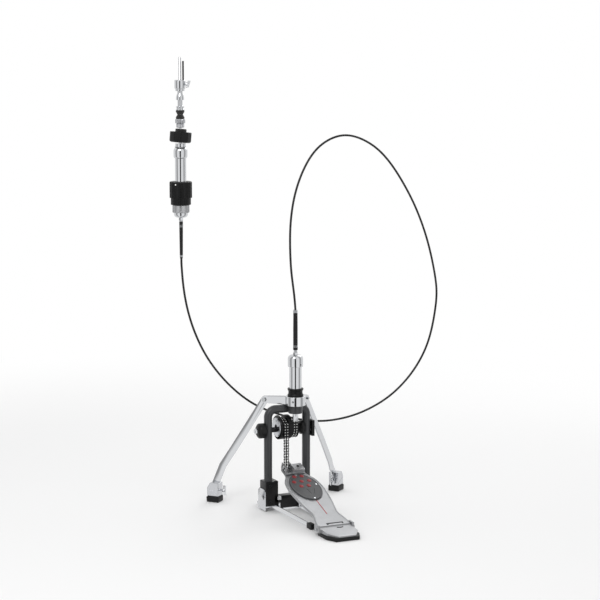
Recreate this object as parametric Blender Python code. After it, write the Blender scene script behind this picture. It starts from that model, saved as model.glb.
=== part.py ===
"""Hi hat worked at a distance: a footboard and a two-legged base, a sleeved cable, and a separate head.

Metres, +Z up, +X to the player's right, the heel toward -Y. The origin is on the floor below the hoop.
"""

import math

import bmesh
import bpy
from mathutils import Matrix, Vector

# Fits
GAP = 0.0003  # between pieces that rest on or beside each other
FIT = 0.0004  # round a piece that turns or slides in a hole

# Hoop frame
HOOP_TUBE = 0.019
HOOP_SPACING = 0.0974
HOOP_HEIGHT = 0.238
HOOP_BEND = 0.018
HUB_DIAMETER = 0.033
HUB_HEIGHT = 0.0199
HUB_DROP = 0.0086  # of the hub below the middle of the top bar

# Base tube and what it carries
TUBE_X = 0.012
TUBE_Y = -0.020
TUBE_DIAMETER = 0.0286
TUBE_WALL = 0.0031
TUBE_LENGTH = 0.1226
SHELF_THICKNESS = 0.004
CAP_OVERLAP = 0.0138
CAP_HEIGHT = 0.0273
CAP_WALL = 0.003
LOCK_HEIGHT = 0.0178
LEG_COLLAR_HEIGHT = 0.0199
LEG_COLLAR_DIAMETER = 0.046
NIPPLE_HEIGHT = 0.0113
BOOT_DIAMETER = 0.0104
BOOT_LENGTH = 0.0756

# Drive
AXLE_HEIGHT = 0.190
AXLE_DIAMETER = 0.012
CAM_RADIUS = 0.026  # of the drive chain's middle line
CAM_FLANGE = 0.028
CAM_THROW = 0.005
CHAIN_X = -0.014
CHAIN_WIDTH = 0.013
CHAIN_THICKNESS = 0.0044
CHAIN_RISE = 0.024  # above the axle's height
SPROCKET_FLANGE = 0.022
PULL_WIDTH = 0.0122
BEARING_DIAMETER = 0.035
ROD_DIAMETER = 0.006
SPRING_WIRE = 0.0018
SPRING_TURNS = 7

# Footboard and heel
HINGE_Z = 0.0145
HINGE_PIN = 0.005
BOARD_SLOPE = math.radians(19.0)
BOARD_THICKNESS = 0.006
BOARD_WIDTH = 0.086
BOARD_LENGTH = 0.248
WAIST_WIDTH = 0.061
TOE_WIDTH = 0.048
WAIST_AT = 0.050  # up the board from the hinge
WIDEST_FROM_TOE = 0.102
PAD_FROM_TOE = 0.086
PAD_HALF_WIDTH = 0.0345
PAD_HALF_LENGTH = 0.0545
PAD_THICKNESS = 0.0016
PIN_FROM_TOE = 0.00519
PIN_ABOVE_BOARD = 0.011
CHEEK_WALL = 0.0025
CHEEK_HEIGHT = 0.0150
HEEL_WIDTH = 0.078
HEEL_LENGTH = 0.0687  # from the hinge back to the end of the heel base
HEEL_BASE_THICKNESS = 0.008
BASE_NECK = 0.056

# Sockets, bars and floor pieces
SOCKET_HEIGHT = 0.070
SOCKET_WALL = 0.0015
SOCKET_FLOOR = 0.030  # that the hoop stands on
SOCKET_INNER = 0.026  # from the middle to the inner face
SOCKET_FRONT = -0.013
SOCKET_BACK = 0.022
CASTING_WALL = 0.0015
CASTING_TOP = 0.052
CROSSBAR_HEIGHT = 0.033
FLOOR_PLATE_THICKNESS = 0.005
SIDE_BAR_SPREAD = 0.0628  # over the outer faces
SIDE_BAR_THICKNESS = 0.003
SIDE_BAR_HEIGHT = 0.012
PAD_HEIGHT = 0.007  # of the rubber under the castings
SPUR_DIAMETER = 0.0044
SPUR_Y = -0.0132
SPUR_KNOB_HEIGHT = 0.0065
SPUR_LUG_HEIGHT = 0.0065

# Legs
LEG_WIDTH = 0.017
LEG_THICKNESS = 0.004
FORK_WALL = 0.003
BOLT_DIAMETER = 0.006
FOOT_LENGTH = 0.031
FOOT_WIDTH = 0.028
FOOT_HEIGHT = 0.014
BRACKET_HEIGHT = 0.032
PIVOT_ABOVE_COLLAR = 0.0059  # of the legs' pivots above the underside of their collar
LEFT_LEG_BEARING = 131.5  # round the base tube, in degrees
LEFT_LEG_PIVOT = 0.0772  # out from the base tube
LEFT_LEG_LINE = [(0.1585, 0.1301), (0.1863, 0.0891), (0.2049, 0.0446), (0.2110, 0.0300)]
LEFT_FOOT = 0.208
RIGHT_LEG_BEARING = 38.3
RIGHT_LEG_PIVOT = 0.0519
RIGHT_LEG_LINE = [(0.1408, 0.1380), (0.1835, 0.0782), (0.1905, 0.0620), (0.2150, 0.0300)]
RIGHT_FOOT = 0.217

# Cable
CABLE_DIAMETER = 0.005
CABLE_ROUTE = [
    (-0.2240, 0.0900, 0.5888), (-0.2238, 0.0905, 0.5800), (-0.2205, 0.0930, 0.5386),
    (-0.2132, 0.0950, 0.4916),
    (-0.2007, 0.0970, 0.4440), (-0.1818, 0.0980, 0.3958), (-0.1550, 0.0990, 0.3468),
    (-0.1134, 0.1000, 0.2940),
    (-0.0628, 0.1000, 0.2480), (-0.0169, 0.1000, 0.2197), (0.0533, 0.1000, 0.1925), (0.1200, 0.1000, 0.1775),
    (0.1722, 0.1000, 0.1764), (0.2247, 0.0980, 0.1842), (0.2776, 0.0960, 0.2024), (0.3298, 0.0920, 0.2335),
    (0.3800, 0.0870, 0.2855), (0.4160, 0.0810, 0.3557), (0.4320, 0.0740, 0.4541), (0.4262, 0.0680, 0.5038),
    (0.3983, 0.0610, 0.6034), (0.3519, 0.0520, 0.7023), (0.2866, 0.0430, 0.7953), (0.2300, 0.0360, 0.8426),
    (0.1609, 0.0280, 0.8657), (0.0980, 0.0190, 0.8470), (0.0590, 0.0120, 0.8101), (0.0330, 0.0050, 0.7657),
    (0.0165, 0.0000, 0.7208), (0.0040, -0.0080, 0.6533), (0.0026, -0.0160, 0.5624),
    (0.0080, -0.0195, 0.5165),
    (0.0118, -0.0200, 0.4800), (0.0120, -0.0200, 0.4705),
]
CABLE_STEP = 0.026

# Head
HEAD_X = -0.224
HEAD_Y = 0.090
UPPER_NIPPLE_BOTTOM = 0.6737
CLUTCH_BOTTOM = 0.8874
PULL_ROD_DIAMETER = 0.0065
PULL_ROD_TOP = 1.0457
HEAD_TUBE_DIAMETER = 0.0254
HEAD_TUBE_WALL = 0.0047
HEAD_TUBE_BOTTOM = 0.7300
HEAD_TUBE_TOP = 0.8181
SLEEVE_DIAMETER = 0.0513
RING_DIAMETER = 0.0388
DOME_DIAMETER = 0.0319
SEAT_DIAMETER = 0.0508
SEAT_TILT = math.radians(5.0)
CLUTCH_DIAMETER = 0.025
CLUTCH_TUBE = 0.0096
FELT_DIAMETER = 0.0196

# Worked out from the sizes above
HUB_BOTTOM = HOOP_HEIGHT - HUB_DROP
HUB_TOP = HUB_BOTTOM + HUB_HEIGHT
LEG_COLLAR_BOTTOM = HUB_TOP + GAP
LOCK_BOTTOM = LEG_COLLAR_BOTTOM + LEG_COLLAR_HEIGHT + GAP
TUBE_TOP = HUB_BOTTOM + TUBE_LENGTH
CAP_BOTTOM = TUBE_TOP - CAP_OVERLAP
CAP_TOP = CAP_BOTTOM + CAP_HEIGHT
NIPPLE_BOTTOM = CAP_TOP + GAP
NIPPLE_TOP = NIPPLE_BOTTOM + NIPPLE_HEIGHT
SPROCKET_RADIUS = -TUBE_Y
SIDE_X = HOOP_SPACING / 2
CAM_LEFT = CHAIN_X - CHAIN_WIDTH / 2 - 0.0045
CAM_RIGHT = 0.003
WIRE_BORE = 0.0016
ROD_BORE = PULL_ROD_DIAMETER / 2 + FIT
PIVOT_Z = LEG_COLLAR_BOTTOM + PIVOT_ABOVE_COLLAR
LEGS = {  # bearing, line of the leg from its pivot down, and where its foot stands
    "left": (LEFT_LEG_BEARING, [(LEFT_LEG_PIVOT, PIVOT_Z), *LEFT_LEG_LINE], LEFT_FOOT),
    "right": (RIGHT_LEG_BEARING, [(RIGHT_LEG_PIVOT, PIVOT_Z), *RIGHT_LEG_LINE], RIGHT_FOOT),
}
PIN_UP_BOARD = BOARD_LENGTH - PIN_FROM_TOE
HINGE_Y = -CAM_RADIUS - (PIN_UP_BOARD - PIN_ABOVE_BOARD * math.tan(BOARD_SLOPE)) * math.cos(BOARD_SLOPE)
TURN_ACROSS = Matrix(((0, 0, 1, 0), (1, 0, 0, 0), (0, 1, 0, 0), (0, 0, 0, 1)))  # a side outline into Y and Z


def clear_scene():
    for obj in list(bpy.data.objects):
        bpy.data.objects.remove(obj, do_unlink=True)


def finish_of(name, colour, roughness, metallic):
    material = bpy.data.materials.new(name)
    material.use_nodes = True
    shader = material.node_tree.nodes["Principled BSDF"]
    shader.inputs["Base Color"].default_value = (*colour, 1.0)
    shader.inputs["Roughness"].default_value = roughness
    shader.inputs["Metallic"].default_value = metallic
    return material


def turned(profile, at, along=(0, 0, 1), steps=20, ring=False):
    """A round shape turned about `along` through `at`, from (radius, height) points."""
    bm = bmesh.new()
    loops = []
    for radius, height in profile:
        if radius == 0:
            loops.append([bm.verts.new((0, 0, height))])
            continue
        turns = [2 * math.pi * i / steps for i in range(steps)]
        loops.append([bm.verts.new((radius * math.cos(a), radius * math.sin(a), height)) for a in turns])
    pairs = list(zip(loops, loops[1:]))
    if ring:
        pairs.append((loops[-1], loops[0]))
    for low, high in pairs:
        for i in range(steps):
            j = (i + 1) % steps
            corners = [low[i % len(low)], low[j % len(low)], high[j % len(high)], high[i % len(high)]]
            bm.faces.new(list(dict.fromkeys(corners)))
    bmesh.ops.recalc_face_normals(bm, faces=bm.faces)
    turn = Vector((0, 0, 1)).rotation_difference(Vector(along)).to_matrix().to_4x4()
    bm.transform(Matrix.Translation(at) @ turn)
    return bm


def block(low, high, place=Matrix()):
    """A box between two corners, moved by `place`."""
    bm = bmesh.new()
    bmesh.ops.create_cube(bm, size=1.0)
    size = [b - a for a, b in zip(low, high)]
    middle = [(a + b) / 2 for a, b in zip(low, high)]
    bm.transform(place @ Matrix.Translation(middle) @ Matrix.Diagonal((*size, 1)))
    return bm


def slab(outline, low, high, place=Matrix()):
    """A flat plate: an outline in X and Y between two heights, moved by `place`."""
    bm = bmesh.new()
    face = bm.faces.new([bm.verts.new((x, y, low)) for x, y in outline])
    grown = bmesh.ops.extrude_face_region(bm, geom=[face])
    top = [item for item in grown["geom"] if isinstance(item, bmesh.types.BMVert)]
    bmesh.ops.translate(bm, verts=top, vec=(0, 0, high - low))
    bmesh.ops.recalc_face_normals(bm, faces=bm.faces)
    bm.transform(place)
    return bm


def swept(points, radius, sides=12):
    """A round bar along a line of points, with flat ends."""
    bm = bmesh.new()
    points = [Vector(p) for p in points]
    loops = []
    across = None
    for i, point in enumerate(points):
        ahead = points[min(i + 1, len(points) - 1)] - points[max(i - 1, 0)]
        ahead.normalize()
        across = (across or ahead.orthogonal()).normalized()
        across = (across - ahead * across.dot(ahead)).normalized()
        other = ahead.cross(across)
        turns = [2 * math.pi * k / sides for k in range(sides)]
        ring = [point + radius * (math.cos(a) * across + math.sin(a) * other) for a in turns]
        loops.append([bm.verts.new(p) for p in ring])
    for low, high in zip(loops, loops[1:]):
        for k in range(sides):
            j = (k + 1) % sides
            bm.faces.new((low[k], low[j], high[j], high[k]))
    bm.faces.new(loops[0])
    bm.faces.new(loops[-1])
    bmesh.ops.recalc_face_normals(bm, faces=bm.faces)
    return bm


def mesh_of(name, bm, pivot):
    bm.transform(Matrix.Translation([-c for c in pivot]))
    mesh = bpy.data.meshes.new(name)
    bm.to_mesh(mesh)
    bm.free()
    return mesh


def piece(name, bm, material, pivot=(0, 0, 0), rounded=True):
    """A named object whose origin is at `pivot`."""
    mesh = mesh_of(name, bm, pivot)
    mesh.materials.append(material)
    obj = bpy.data.objects.new(name, mesh)
    obj.location = pivot
    bpy.context.collection.objects.link(obj)
    if rounded:
        mesh.shade_smooth()
        mesh.set_sharp_from_angle(angle=math.radians(32))
    return obj


def combine(obj, operation, *shapes):
    """Joins shapes to an object, or cuts them out of it."""
    for number, bm in enumerate(shapes):
        name = f"{obj.name}_{operation.lower()}_{number}"
        tool = bpy.data.objects.new(name, mesh_of(name, bm, obj.location))
        tool.location = obj.location
        tool.hide_render = True
        tool.display_type = "WIRE"
        bpy.context.collection.objects.link(tool)
        change = obj.modifiers.new(name, "BOOLEAN")
        change.operation = operation
        change.object = tool


def join(obj, *shapes):
    combine(obj, "UNION", *shapes)


def cut(obj, *shapes):
    combine(obj, "DIFFERENCE", *shapes)


def bevel(obj, width):
    edge = obj.modifiers.new("edge", "BEVEL")
    edge.width = width
    edge.segments = 1
    edge.limit_method = "ANGLE"
    edge.angle_limit = math.radians(50)


def arc(centre, radius, start, end, steps):
    turns = [math.radians(start + (end - start) * i / steps) for i in range(steps + 1)]
    return [(centre[0] + radius * math.cos(a), centre[1] + radius * math.sin(a)) for a in turns]


clear_scene()
CHROME = finish_of("chrome", (0.82, 0.83, 0.84), 0.12, 1.0)
GRAPHITE = finish_of("graphite_paint", (0.055, 0.055, 0.06), 0.35, 0.0)
BLACK = finish_of("black_plastic", (0.02, 0.02, 0.022), 0.45, 0.0)
RUBBER = finish_of("rubber", (0.018, 0.018, 0.018), 0.8, 0.0)
CAST = finish_of("cast_aluminium", (0.52, 0.52, 0.53), 0.42, 1.0)
KNURLED = finish_of("knurled_steel", (0.45, 0.45, 0.46), 0.4, 1.0)
FELT = finish_of("felt", (0.025, 0.025, 0.025), 0.95, 0.0)
CHAIN_STEEL = finish_of("chain_steel", (0.5, 0.5, 0.5), 0.3, 1.0)
TUBE_AT = (TUBE_X, TUBE_Y, 0)


def make_hoop():
    """The bent tube with the base tube's hub welded to the front of its top bar."""
    bottom = SOCKET_FLOOR + GAP
    inner = SIDE_X - HOOP_BEND
    shoulder = HOOP_HEIGHT - HOOP_BEND
    left = arc((-inner, shoulder), HOOP_BEND, 180, 90, 6)
    right = arc((inner, shoulder), HOOP_BEND, 90, 0, 6)
    line = [(-SIDE_X, bottom), *left, *right, (SIDE_X, bottom)]
    hoop = piece("hoop_frame", swept([(x, 0, z) for x, z in line], HOOP_TUBE / 2, 16), GRAPHITE)
    join(hoop, turned(
        [(0, HUB_BOTTOM), (HUB_DIAMETER / 2, HUB_BOTTOM), (HUB_DIAMETER / 2, HUB_TOP), (0, HUB_TOP)],
        TUBE_AT))
    bore = TUBE_DIAMETER / 2 + GAP
    cut(hoop,
        turned([(0, HUB_BOTTOM - 0.02), (bore, HUB_BOTTOM - 0.02), (bore, HUB_TOP + 0.02),
                (0, HUB_TOP + 0.02)],
               TUBE_AT),
        axle_hole(-HOOP_SPACING, HOOP_SPACING))


def axle_hole(start, end):
    radius = AXLE_DIAMETER / 2 + FIT
    return turned([(0, start), (radius, start), (radius, end), (0, end)], (0, 0, AXLE_HEIGHT), (1, 0, 0), 16)


def make_base_tube():
    outer = TUBE_DIAMETER / 2
    inner = outer - TUBE_WALL
    rod = ROD_DIAMETER / 2 + FIT
    shelf = HUB_BOTTOM + SHELF_THICKNESS
    piece("base_tube", turned(
        [(rod, HUB_BOTTOM), (outer, HUB_BOTTOM), (outer, TUBE_TOP), (inner, TUBE_TOP), (inner, shelf),
         (rod, shelf)],
        TUBE_AT, steps=24, ring=True), CHROME)
    bore = outer + GAP
    edge = bore + CAP_WALL
    piece("tube_cap", turned(
        [(bore, CAP_BOTTOM), (edge, CAP_BOTTOM), (edge, CAP_TOP - 0.007), (edge - 0.0012, CAP_TOP - 0.0032),
         (edge - 0.0055, CAP_TOP), (WIRE_BORE, CAP_TOP), (WIRE_BORE, TUBE_TOP + 0.003),
         (bore, TUBE_TOP + GAP)],
        TUBE_AT, steps=24, ring=True), CHROME)
    piece("lower_nipple", turned(
        [(WIRE_BORE, NIPPLE_BOTTOM), (0.0059, NIPPLE_BOTTOM), (0.0059, NIPPLE_BOTTOM + 0.005),
         (0.0040, NIPPLE_BOTTOM + 0.007), (0.0040, NIPPLE_TOP), (WIRE_BORE, NIPPLE_TOP)],
        TUBE_AT, steps=12, ring=True), CHROME)
    grip = outer + GAP
    piece("lock_collar", turned(
        [(grip, LOCK_BOTTOM), (grip + 0.0038, LOCK_BOTTOM), (grip + 0.0038, LOCK_BOTTOM + 0.003),
         (grip + 0.0022, LOCK_BOTTOM + 0.006), (grip + 0.0022, LOCK_BOTTOM + LOCK_HEIGHT - 0.006),
         (grip + 0.0038, LOCK_BOTTOM + LOCK_HEIGHT - 0.003), (grip + 0.0038, LOCK_BOTTOM + LOCK_HEIGHT),
         (grip, LOCK_BOTTOM + LOCK_HEIGHT)],
        TUBE_AT, steps=24, ring=True), BLACK)


def make_boots():
    """The stiff black sleeves with their crimped ends that hold the cable at the base and at the head."""
    start = NIPPLE_TOP + GAP
    boot = BOOT_DIAMETER / 2
    top = start + 0.0105
    end = top + BOOT_LENGTH
    piece("lower_boot", turned(
        [(0, start), (0.0054, start), (0.0054, start + 0.0056), (0.0055, start + 0.006), (0.0055, top),
         (boot, top), (boot - 0.0003, end), (0.0054, end), (0.0054, end + 0.0067), (0, end + 0.0067)],
        TUBE_AT, steps=12), RUBBER)
    piece("upper_boot", turned(
        [(0, 0.5891), (0.0032, 0.5891), (0.0032, 0.5925), (0.0040, 0.5925), (0.0040, 0.5970),
         (0.0036, 0.5970),
         (0.0042, 0.6613), (0.0046, 0.6613), (0.0046, 0.6658), (0.0043, 0.6658),
         (0.0043, UPPER_NIPPLE_BOTTOM - GAP),
         (0, UPPER_NIPPLE_BOTTOM - GAP)],
        (HEAD_X, HEAD_Y, 0), steps=12), RUBBER)


def smooth_line(route, step):
    """Points a step apart on a smooth curve through the route's own points."""
    route = [Vector(p) for p in route]
    ends = [2 * route[0] - route[1], *route, 2 * route[-1] - route[-2]]
    line = []
    for a, b, c, d in zip(ends, ends[1:], ends[2:], ends[3:]):
        parts = max(1, round((c - b).length / step))
        for k in range(parts):
            t = k / parts
            line.append(0.5 * (2 * b + (c - a) * t + (2 * a - 5 * b + 4 * c - d) * t ** 2
                               + (3 * b - a - 3 * c + d) * t ** 3))
    return [*line, route[-1]]


def make_cable():
    line = smooth_line(CABLE_ROUTE, CABLE_STEP)
    curve = bpy.data.curves.new("cable", "CURVE")
    curve.dimensions = "3D"
    curve.bevel_depth = CABLE_DIAMETER / 2
    curve.bevel_resolution = 2
    curve.use_fill_caps = True
    spline = curve.splines.new("POLY")
    spline.points.add(len(line) - 1)
    for point, place in zip(spline.points, line):
        point.co = (*place, 1)
    curve.materials.append(RUBBER)
    bpy.context.collection.objects.link(bpy.data.objects.new("cable", curve))


def spring_line(low, high, radius):
    count = SPRING_TURNS * 10
    turns = [2 * math.pi * SPRING_TURNS * i / count for i in range(count + 1)]
    rise = (high - low) / count
    return [(radius * math.cos(a), radius * math.sin(a), low + rise * i) for i, a in enumerate(turns)]


def make_spring(name, at, low, high, radius):
    """A compression spring whose coils fill the space between its two seats."""
    margin = SPRING_WIRE / 2 + GAP + 0.0002
    line = [(at[0] + x, at[1] + y, z) for x, y, z in spring_line(low + margin, high - margin, radius)]
    piece(name, swept(line, SPRING_WIRE / 2, 6), CHAIN_STEEL, (at[0], at[1], low + GAP))


def make_pull_rod():
    """The yoke, rod and spring washer that the sprocket's chain pulls down inside the base tube."""
    yoke_top = HUB_BOTTOM - 0.0004
    yoke_bottom = yoke_top - 0.019
    washer = TUBE_TOP - 0.034
    rod = ROD_DIAMETER / 2
    seat = TUBE_DIAMETER / 2 - TUBE_WALL - 0.001
    yoke = piece("pull_rod", turned(
        [(0, yoke_top - 0.008), (rod, yoke_top - 0.008), (rod, washer - 0.003), (seat, washer - 0.003),
         (seat, washer), (0.00125, washer), (0.00125, NIPPLE_TOP - 0.005), (0, NIPPLE_TOP - 0.005)],
        TUBE_AT, steps=12), CHROME, (TUBE_X, TUBE_Y, yoke_bottom))
    half = PULL_WIDTH / 2
    join(yoke, block((TUBE_X - half, TUBE_Y - 0.0025, yoke_bottom),
                     (TUBE_X + half, TUBE_Y + 0.0025, yoke_top)))
    piece("pull_chain", block(
        (TUBE_X - half + 0.0004, TUBE_Y - 0.0022, AXLE_HEIGHT), (TUBE_X + half - 0.0004, TUBE_Y + 0.0022,
                                                               yoke_bottom - GAP)),
        CHAIN_STEEL, (TUBE_X, TUBE_Y, yoke_bottom), rounded=False)
    make_spring("return_spring", TUBE_AT, HUB_BOTTOM + SHELF_THICKNESS, washer - 0.003, seat - 0.0022)


def make_axle():
    """The axle with the cam that the footboard's chain turns and the sprocket that pulls the rod."""
    centre = (0, 0, AXLE_HEIGHT)
    along = (1, 0, 0)
    left_end = -SIDE_X - HOOP_TUBE / 2 - 0.0185
    right_end = SIDE_X + HOOP_TUBE / 2 + 0.009
    radius = AXLE_DIAMETER / 2
    piece("axle", turned(
        [(0, left_end - 0.0063), (0.004, left_end - 0.0063), (0.007, left_end - 0.005),
         (0.007, left_end - GAP),
         (radius, left_end - GAP), (radius, right_end), (0, right_end)], centre, along, 16), BLACK, centre)
    floor = CAM_RADIUS - CHAIN_THICKNESS / 2 - 0.0005
    groove_left = CHAIN_X - CHAIN_WIDTH / 2 - 0.0008
    groove_right = CHAIN_X + CHAIN_WIDTH / 2 + 0.0008
    raised = (0, 0, AXLE_HEIGHT + CAM_THROW)
    cam = piece("cam", turned([(0, CAM_LEFT), (floor, CAM_LEFT), (floor, CAM_RIGHT), (0, CAM_RIGHT)],
                              centre, along, 24), BLACK, centre)
    for start, end in ((CAM_LEFT - 0.0002, groove_left), (groove_right, CAM_RIGHT + 0.0002)):
        join(cam, turned([(0, start), (CAM_FLANGE, start), (CAM_FLANGE, end), (0, end)], raised, along, 24))
    join(cam, turned([(0, CAM_LEFT - 0.0035), (0.021, CAM_LEFT - 0.0035), (0.023, CAM_LEFT + 0.001),
                      (0, CAM_LEFT + 0.001)], raised, along, 20))
    cut(cam, axle_hole(-HOOP_SPACING / 2, HOOP_SPACING / 2))
    bore = radius + FIT
    left = CAM_RIGHT + 0.0002 + GAP
    right = 2 * TUBE_X - left
    wall = (right - left - PULL_WIDTH) / 2 - 0.0005
    groove = SPROCKET_RADIUS - 0.0028
    piece("sprocket", turned(
        [(bore, left), (SPROCKET_FLANGE, left), (SPROCKET_FLANGE, left + wall), (groove, left + wall),
         (groove, right - wall), (SPROCKET_FLANGE, right - wall), (SPROCKET_FLANGE, right), (bore, right)],
        centre, along, 24, ring=True), BLACK, centre)
    face = SIDE_X + HOOP_TUBE / 2 + GAP
    half = BEARING_DIAMETER / 2
    piece("left_bearing", turned(
        [(bore, left_end + GAP), (half - 0.005, left_end + GAP), (half, left_end + 0.005), (half, -face),
         (bore, -face)], centre, along, 20, ring=True), BLACK)
    inner = SIDE_X - HOOP_TUBE / 2 - GAP
    piece("right_bearing", turned(
        [(bore, inner - 0.015), (0.0095, inner - 0.015), (0.016, inner - 0.006), (0.016, inner),
         (bore, inner)],
        centre, along, 20, ring=True), BLACK)
    clamp = piece("bearing_clamp", block((face, -0.012, AXLE_HEIGHT - 0.021), (face + 0.0065, 0.012,
                                                                             AXLE_HEIGHT + 0.016)), BLACK)
    cut(clamp, axle_hole(0, HOOP_SPACING))


def make_drive_chain():
    """The double chain that hangs from the cam, with the pin that rides in the toe bracket's slots."""
    pin = chain_pin()
    half = CHAIN_THICKNESS / 2
    chain = piece("drive_chain", block(
        (CHAIN_X - CHAIN_WIDTH / 2, -CAM_RADIUS - half, pin[2] - 0.003),
        (CHAIN_X + CHAIN_WIDTH / 2, -CAM_RADIUS + half, AXLE_HEIGHT + CHAIN_RISE)),
        CHAIN_STEEL, (CHAIN_X, -CAM_RADIUS, AXLE_HEIGHT), rounded=False)
    reach = CHAIN_WIDTH / 2 + 0.0035
    join(chain, turned([(0, CHAIN_X - reach), (0.0019, CHAIN_X - reach), (0.0019, CHAIN_X + reach),
                        (0, CHAIN_X + reach)], (0, -CAM_RADIUS, pin[2]), (1, 0, 0), 10))


def chain_pin():
    """Where the chain's pin is at rest, on the toe, straight below the front of the cam."""
    rise = math.tan(BOARD_SLOPE)
    ahead = -CAM_RADIUS - HINGE_Y
    return (CHAIN_X, -CAM_RADIUS, HINGE_Z + ahead * rise + PIN_ABOVE_BOARD / math.cos(BOARD_SLOPE))


def board_place():
    """The board's own axes: X across, Y up the board from the hinge, Z off its underside."""
    return Matrix.Translation((0, HINGE_Y, HINGE_Z)) @ Matrix.Rotation(BOARD_SLOPE, 4, "X")


def board_outline():
    wide = BOARD_WIDTH / 2
    waist = WAIST_WIDTH / 2
    hinge = HEEL_WIDTH / 2 - 0.0004
    widest = BOARD_LENGTH - WIDEST_FROM_TOE
    swell = widest - WAIST_AT
    right = [(hinge, 0.0), (hinge, 0.016), (waist + 0.004, WAIST_AT - 0.017), (waist, WAIST_AT)]
    right += [(waist + 0.003, WAIST_AT + 0.21 * swell), (wide - 0.0055, WAIST_AT + 0.44 * swell)]
    right += [(wide - 0.0025, WAIST_AT + 0.69 * swell), (wide, widest), (wide - 0.001, widest + 0.026)]
    right += [(wide - 0.006, widest + 0.050), (wide - 0.016, widest + 0.069)]
    right += [(TOE_WIDTH / 2, widest + 0.082), (TOE_WIDTH / 2, BOARD_LENGTH)]
    return right + [(-x, y) for x, y in reversed(right)]


def make_footboard():
    place = board_place()
    hinge = (0, HINGE_Y, HINGE_Z)
    board = piece("footboard", slab(board_outline(), 0, BOARD_THICKNESS, place), CAST, hinge)
    reach = HEEL_WIDTH / 2 - 0.0004
    barrel = HINGE_PIN / 2 + 0.0021
    join(board, turned([(0, -reach), (barrel, -reach), (barrel, reach), (0, reach)], hinge, (1, 0, 0), 16))
    hole = HINGE_PIN / 2 + FIT
    cut(board, turned([(0, -0.06), (hole, -0.06), (hole, 0.06), (0, 0.06)], hinge, (1, 0, 0), 12))
    middle = BOARD_LENGTH - PAD_FROM_TOE
    oval = [(PAD_HALF_WIDTH * math.cos(a), middle + PAD_HALF_LENGTH * math.sin(a)) for a in
            (2 * math.pi * i / 28 for i in range(28))]
    top = BOARD_THICKNESS + GAP
    piece("traction_pad", slab(oval, top, top + PAD_THICKNESS, place), RUBBER, hinge)
    make_toe_bracket(place, hinge, top)


def make_toe_bracket(place, hinge, top):
    """Two slotted cheeks for the chain's pin, on a strip beside the toe block."""
    pin = place.inverted() @ Vector(chain_pin())
    cheek = CHAIN_WIDTH / 2 + 0.001
    left = CHAIN_X - cheek - CHEEK_WALL
    inner = CHAIN_X + cheek
    right = TOE_WIDTH / 2
    back = BOARD_LENGTH - PAD_FROM_TOE + PAD_HALF_LENGTH + 0.002
    slot_back = pin.y - 0.0150
    bracket = piece("toe_bracket", block((left + 0.0004, back, top),
                                         (right - 0.0004, slot_back - 0.002, top + 0.0022),
                                         place), CAST, hinge, rounded=False)
    join(bracket, block((inner + CHEEK_WALL - 0.0007, back + 0.004, top + 0.0002),
                        (right, BOARD_LENGTH + 0.001, top + 0.0095), place))
    for side in (left, inner):
        join(bracket, block((side, back + 0.003, top + 0.0001),
                            (side + CHEEK_WALL, BOARD_LENGTH + 0.002, top + CHEEK_HEIGHT), place))
    cut(bracket, block((left - 0.01, slot_back, pin.z - 0.0032),
                       (inner + CHEEK_WALL + 0.0005, pin.y + 0.0030, pin.z + 0.0065), place))


def make_heel():
    wide = HEEL_WIDTH / 2
    ear = wide + 0.0052
    end = HINGE_Y - HEEL_LENGTH
    neck = BASE_NECK / 2
    right = [(neck, HINGE_Y + 0.070), (neck, HINGE_Y + 0.012), (wide + 0.002, HINGE_Y + 0.002),
             (wide + 0.002, HINGE_Y - 0.042), (neck + 0.0004, end)]
    outline = right + [(-x, y) for x, y in reversed(right)]
    base = piece("heel_base", slab(outline, 0, HEEL_BASE_THICKNESS), RUBBER, rounded=False)
    bevel(base, 0.0012)
    bar_end = HINGE_Y + 0.072
    for sign in (-1, 1):
        near, far = sorted((sign * (neck - 0.004), sign * (SIDE_BAR_SPREAD / 2 + 0.0035)))
        join(base, block((near, bar_end - 0.022, 0.0005), (far, bar_end - GAP, 0.0125)))
    low = HEEL_BASE_THICKNESS + GAP
    front = HINGE_Y - HINGE_PIN / 2 - 0.0021 - 0.0012
    side = [(front, low), (front, HINGE_Z + 0.0035), (end + 0.016, low + 0.0040),
            (end + 0.003, low + 0.0030),
            (end + 0.003, low)]
    heel = piece("heel_plate", slab(side, -ear, ear, TURN_ACROSS), CAST, rounded=False)
    corner = [(wide - 0.0015, end - 0.01), (neck - 0.008, end + 0.001), (wide - 0.0015, HINGE_Y - 0.040),
              (wide - 0.0005, HINGE_Y - 0.014), (ear + 0.001, HINGE_Y - 0.011), (ear + 0.001, end - 0.01)]
    cut(heel, slab(corner, 0, 0.05), slab([(-x, y) for x, y in corner], 0, 0.05))
    hole = HINGE_PIN / 2 + FIT
    for sign in (-1, 1):
        inner, outer = sorted((sign * (wide + GAP), sign * ear))
        join(heel, block((inner, HINGE_Y - 0.009, low + 0.0002), (outer, HINGE_Y + 0.012, HINGE_Z + 0.0095)))
    cut(heel, turned([(0, -0.06), (hole, -0.06), (hole, 0.06), (0, 0.06)], (0, HINGE_Y, HINGE_Z),
                     (1, 0, 0), 12))
    reach = ear + 0.002
    pin = HINGE_PIN / 2
    piece("hinge_pin", turned([(0, -reach), (pin, -reach), (pin, reach), (0, reach)],
                              (0, HINGE_Y, HINGE_Z), (1, 0, 0), 12), CHROME)


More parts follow.
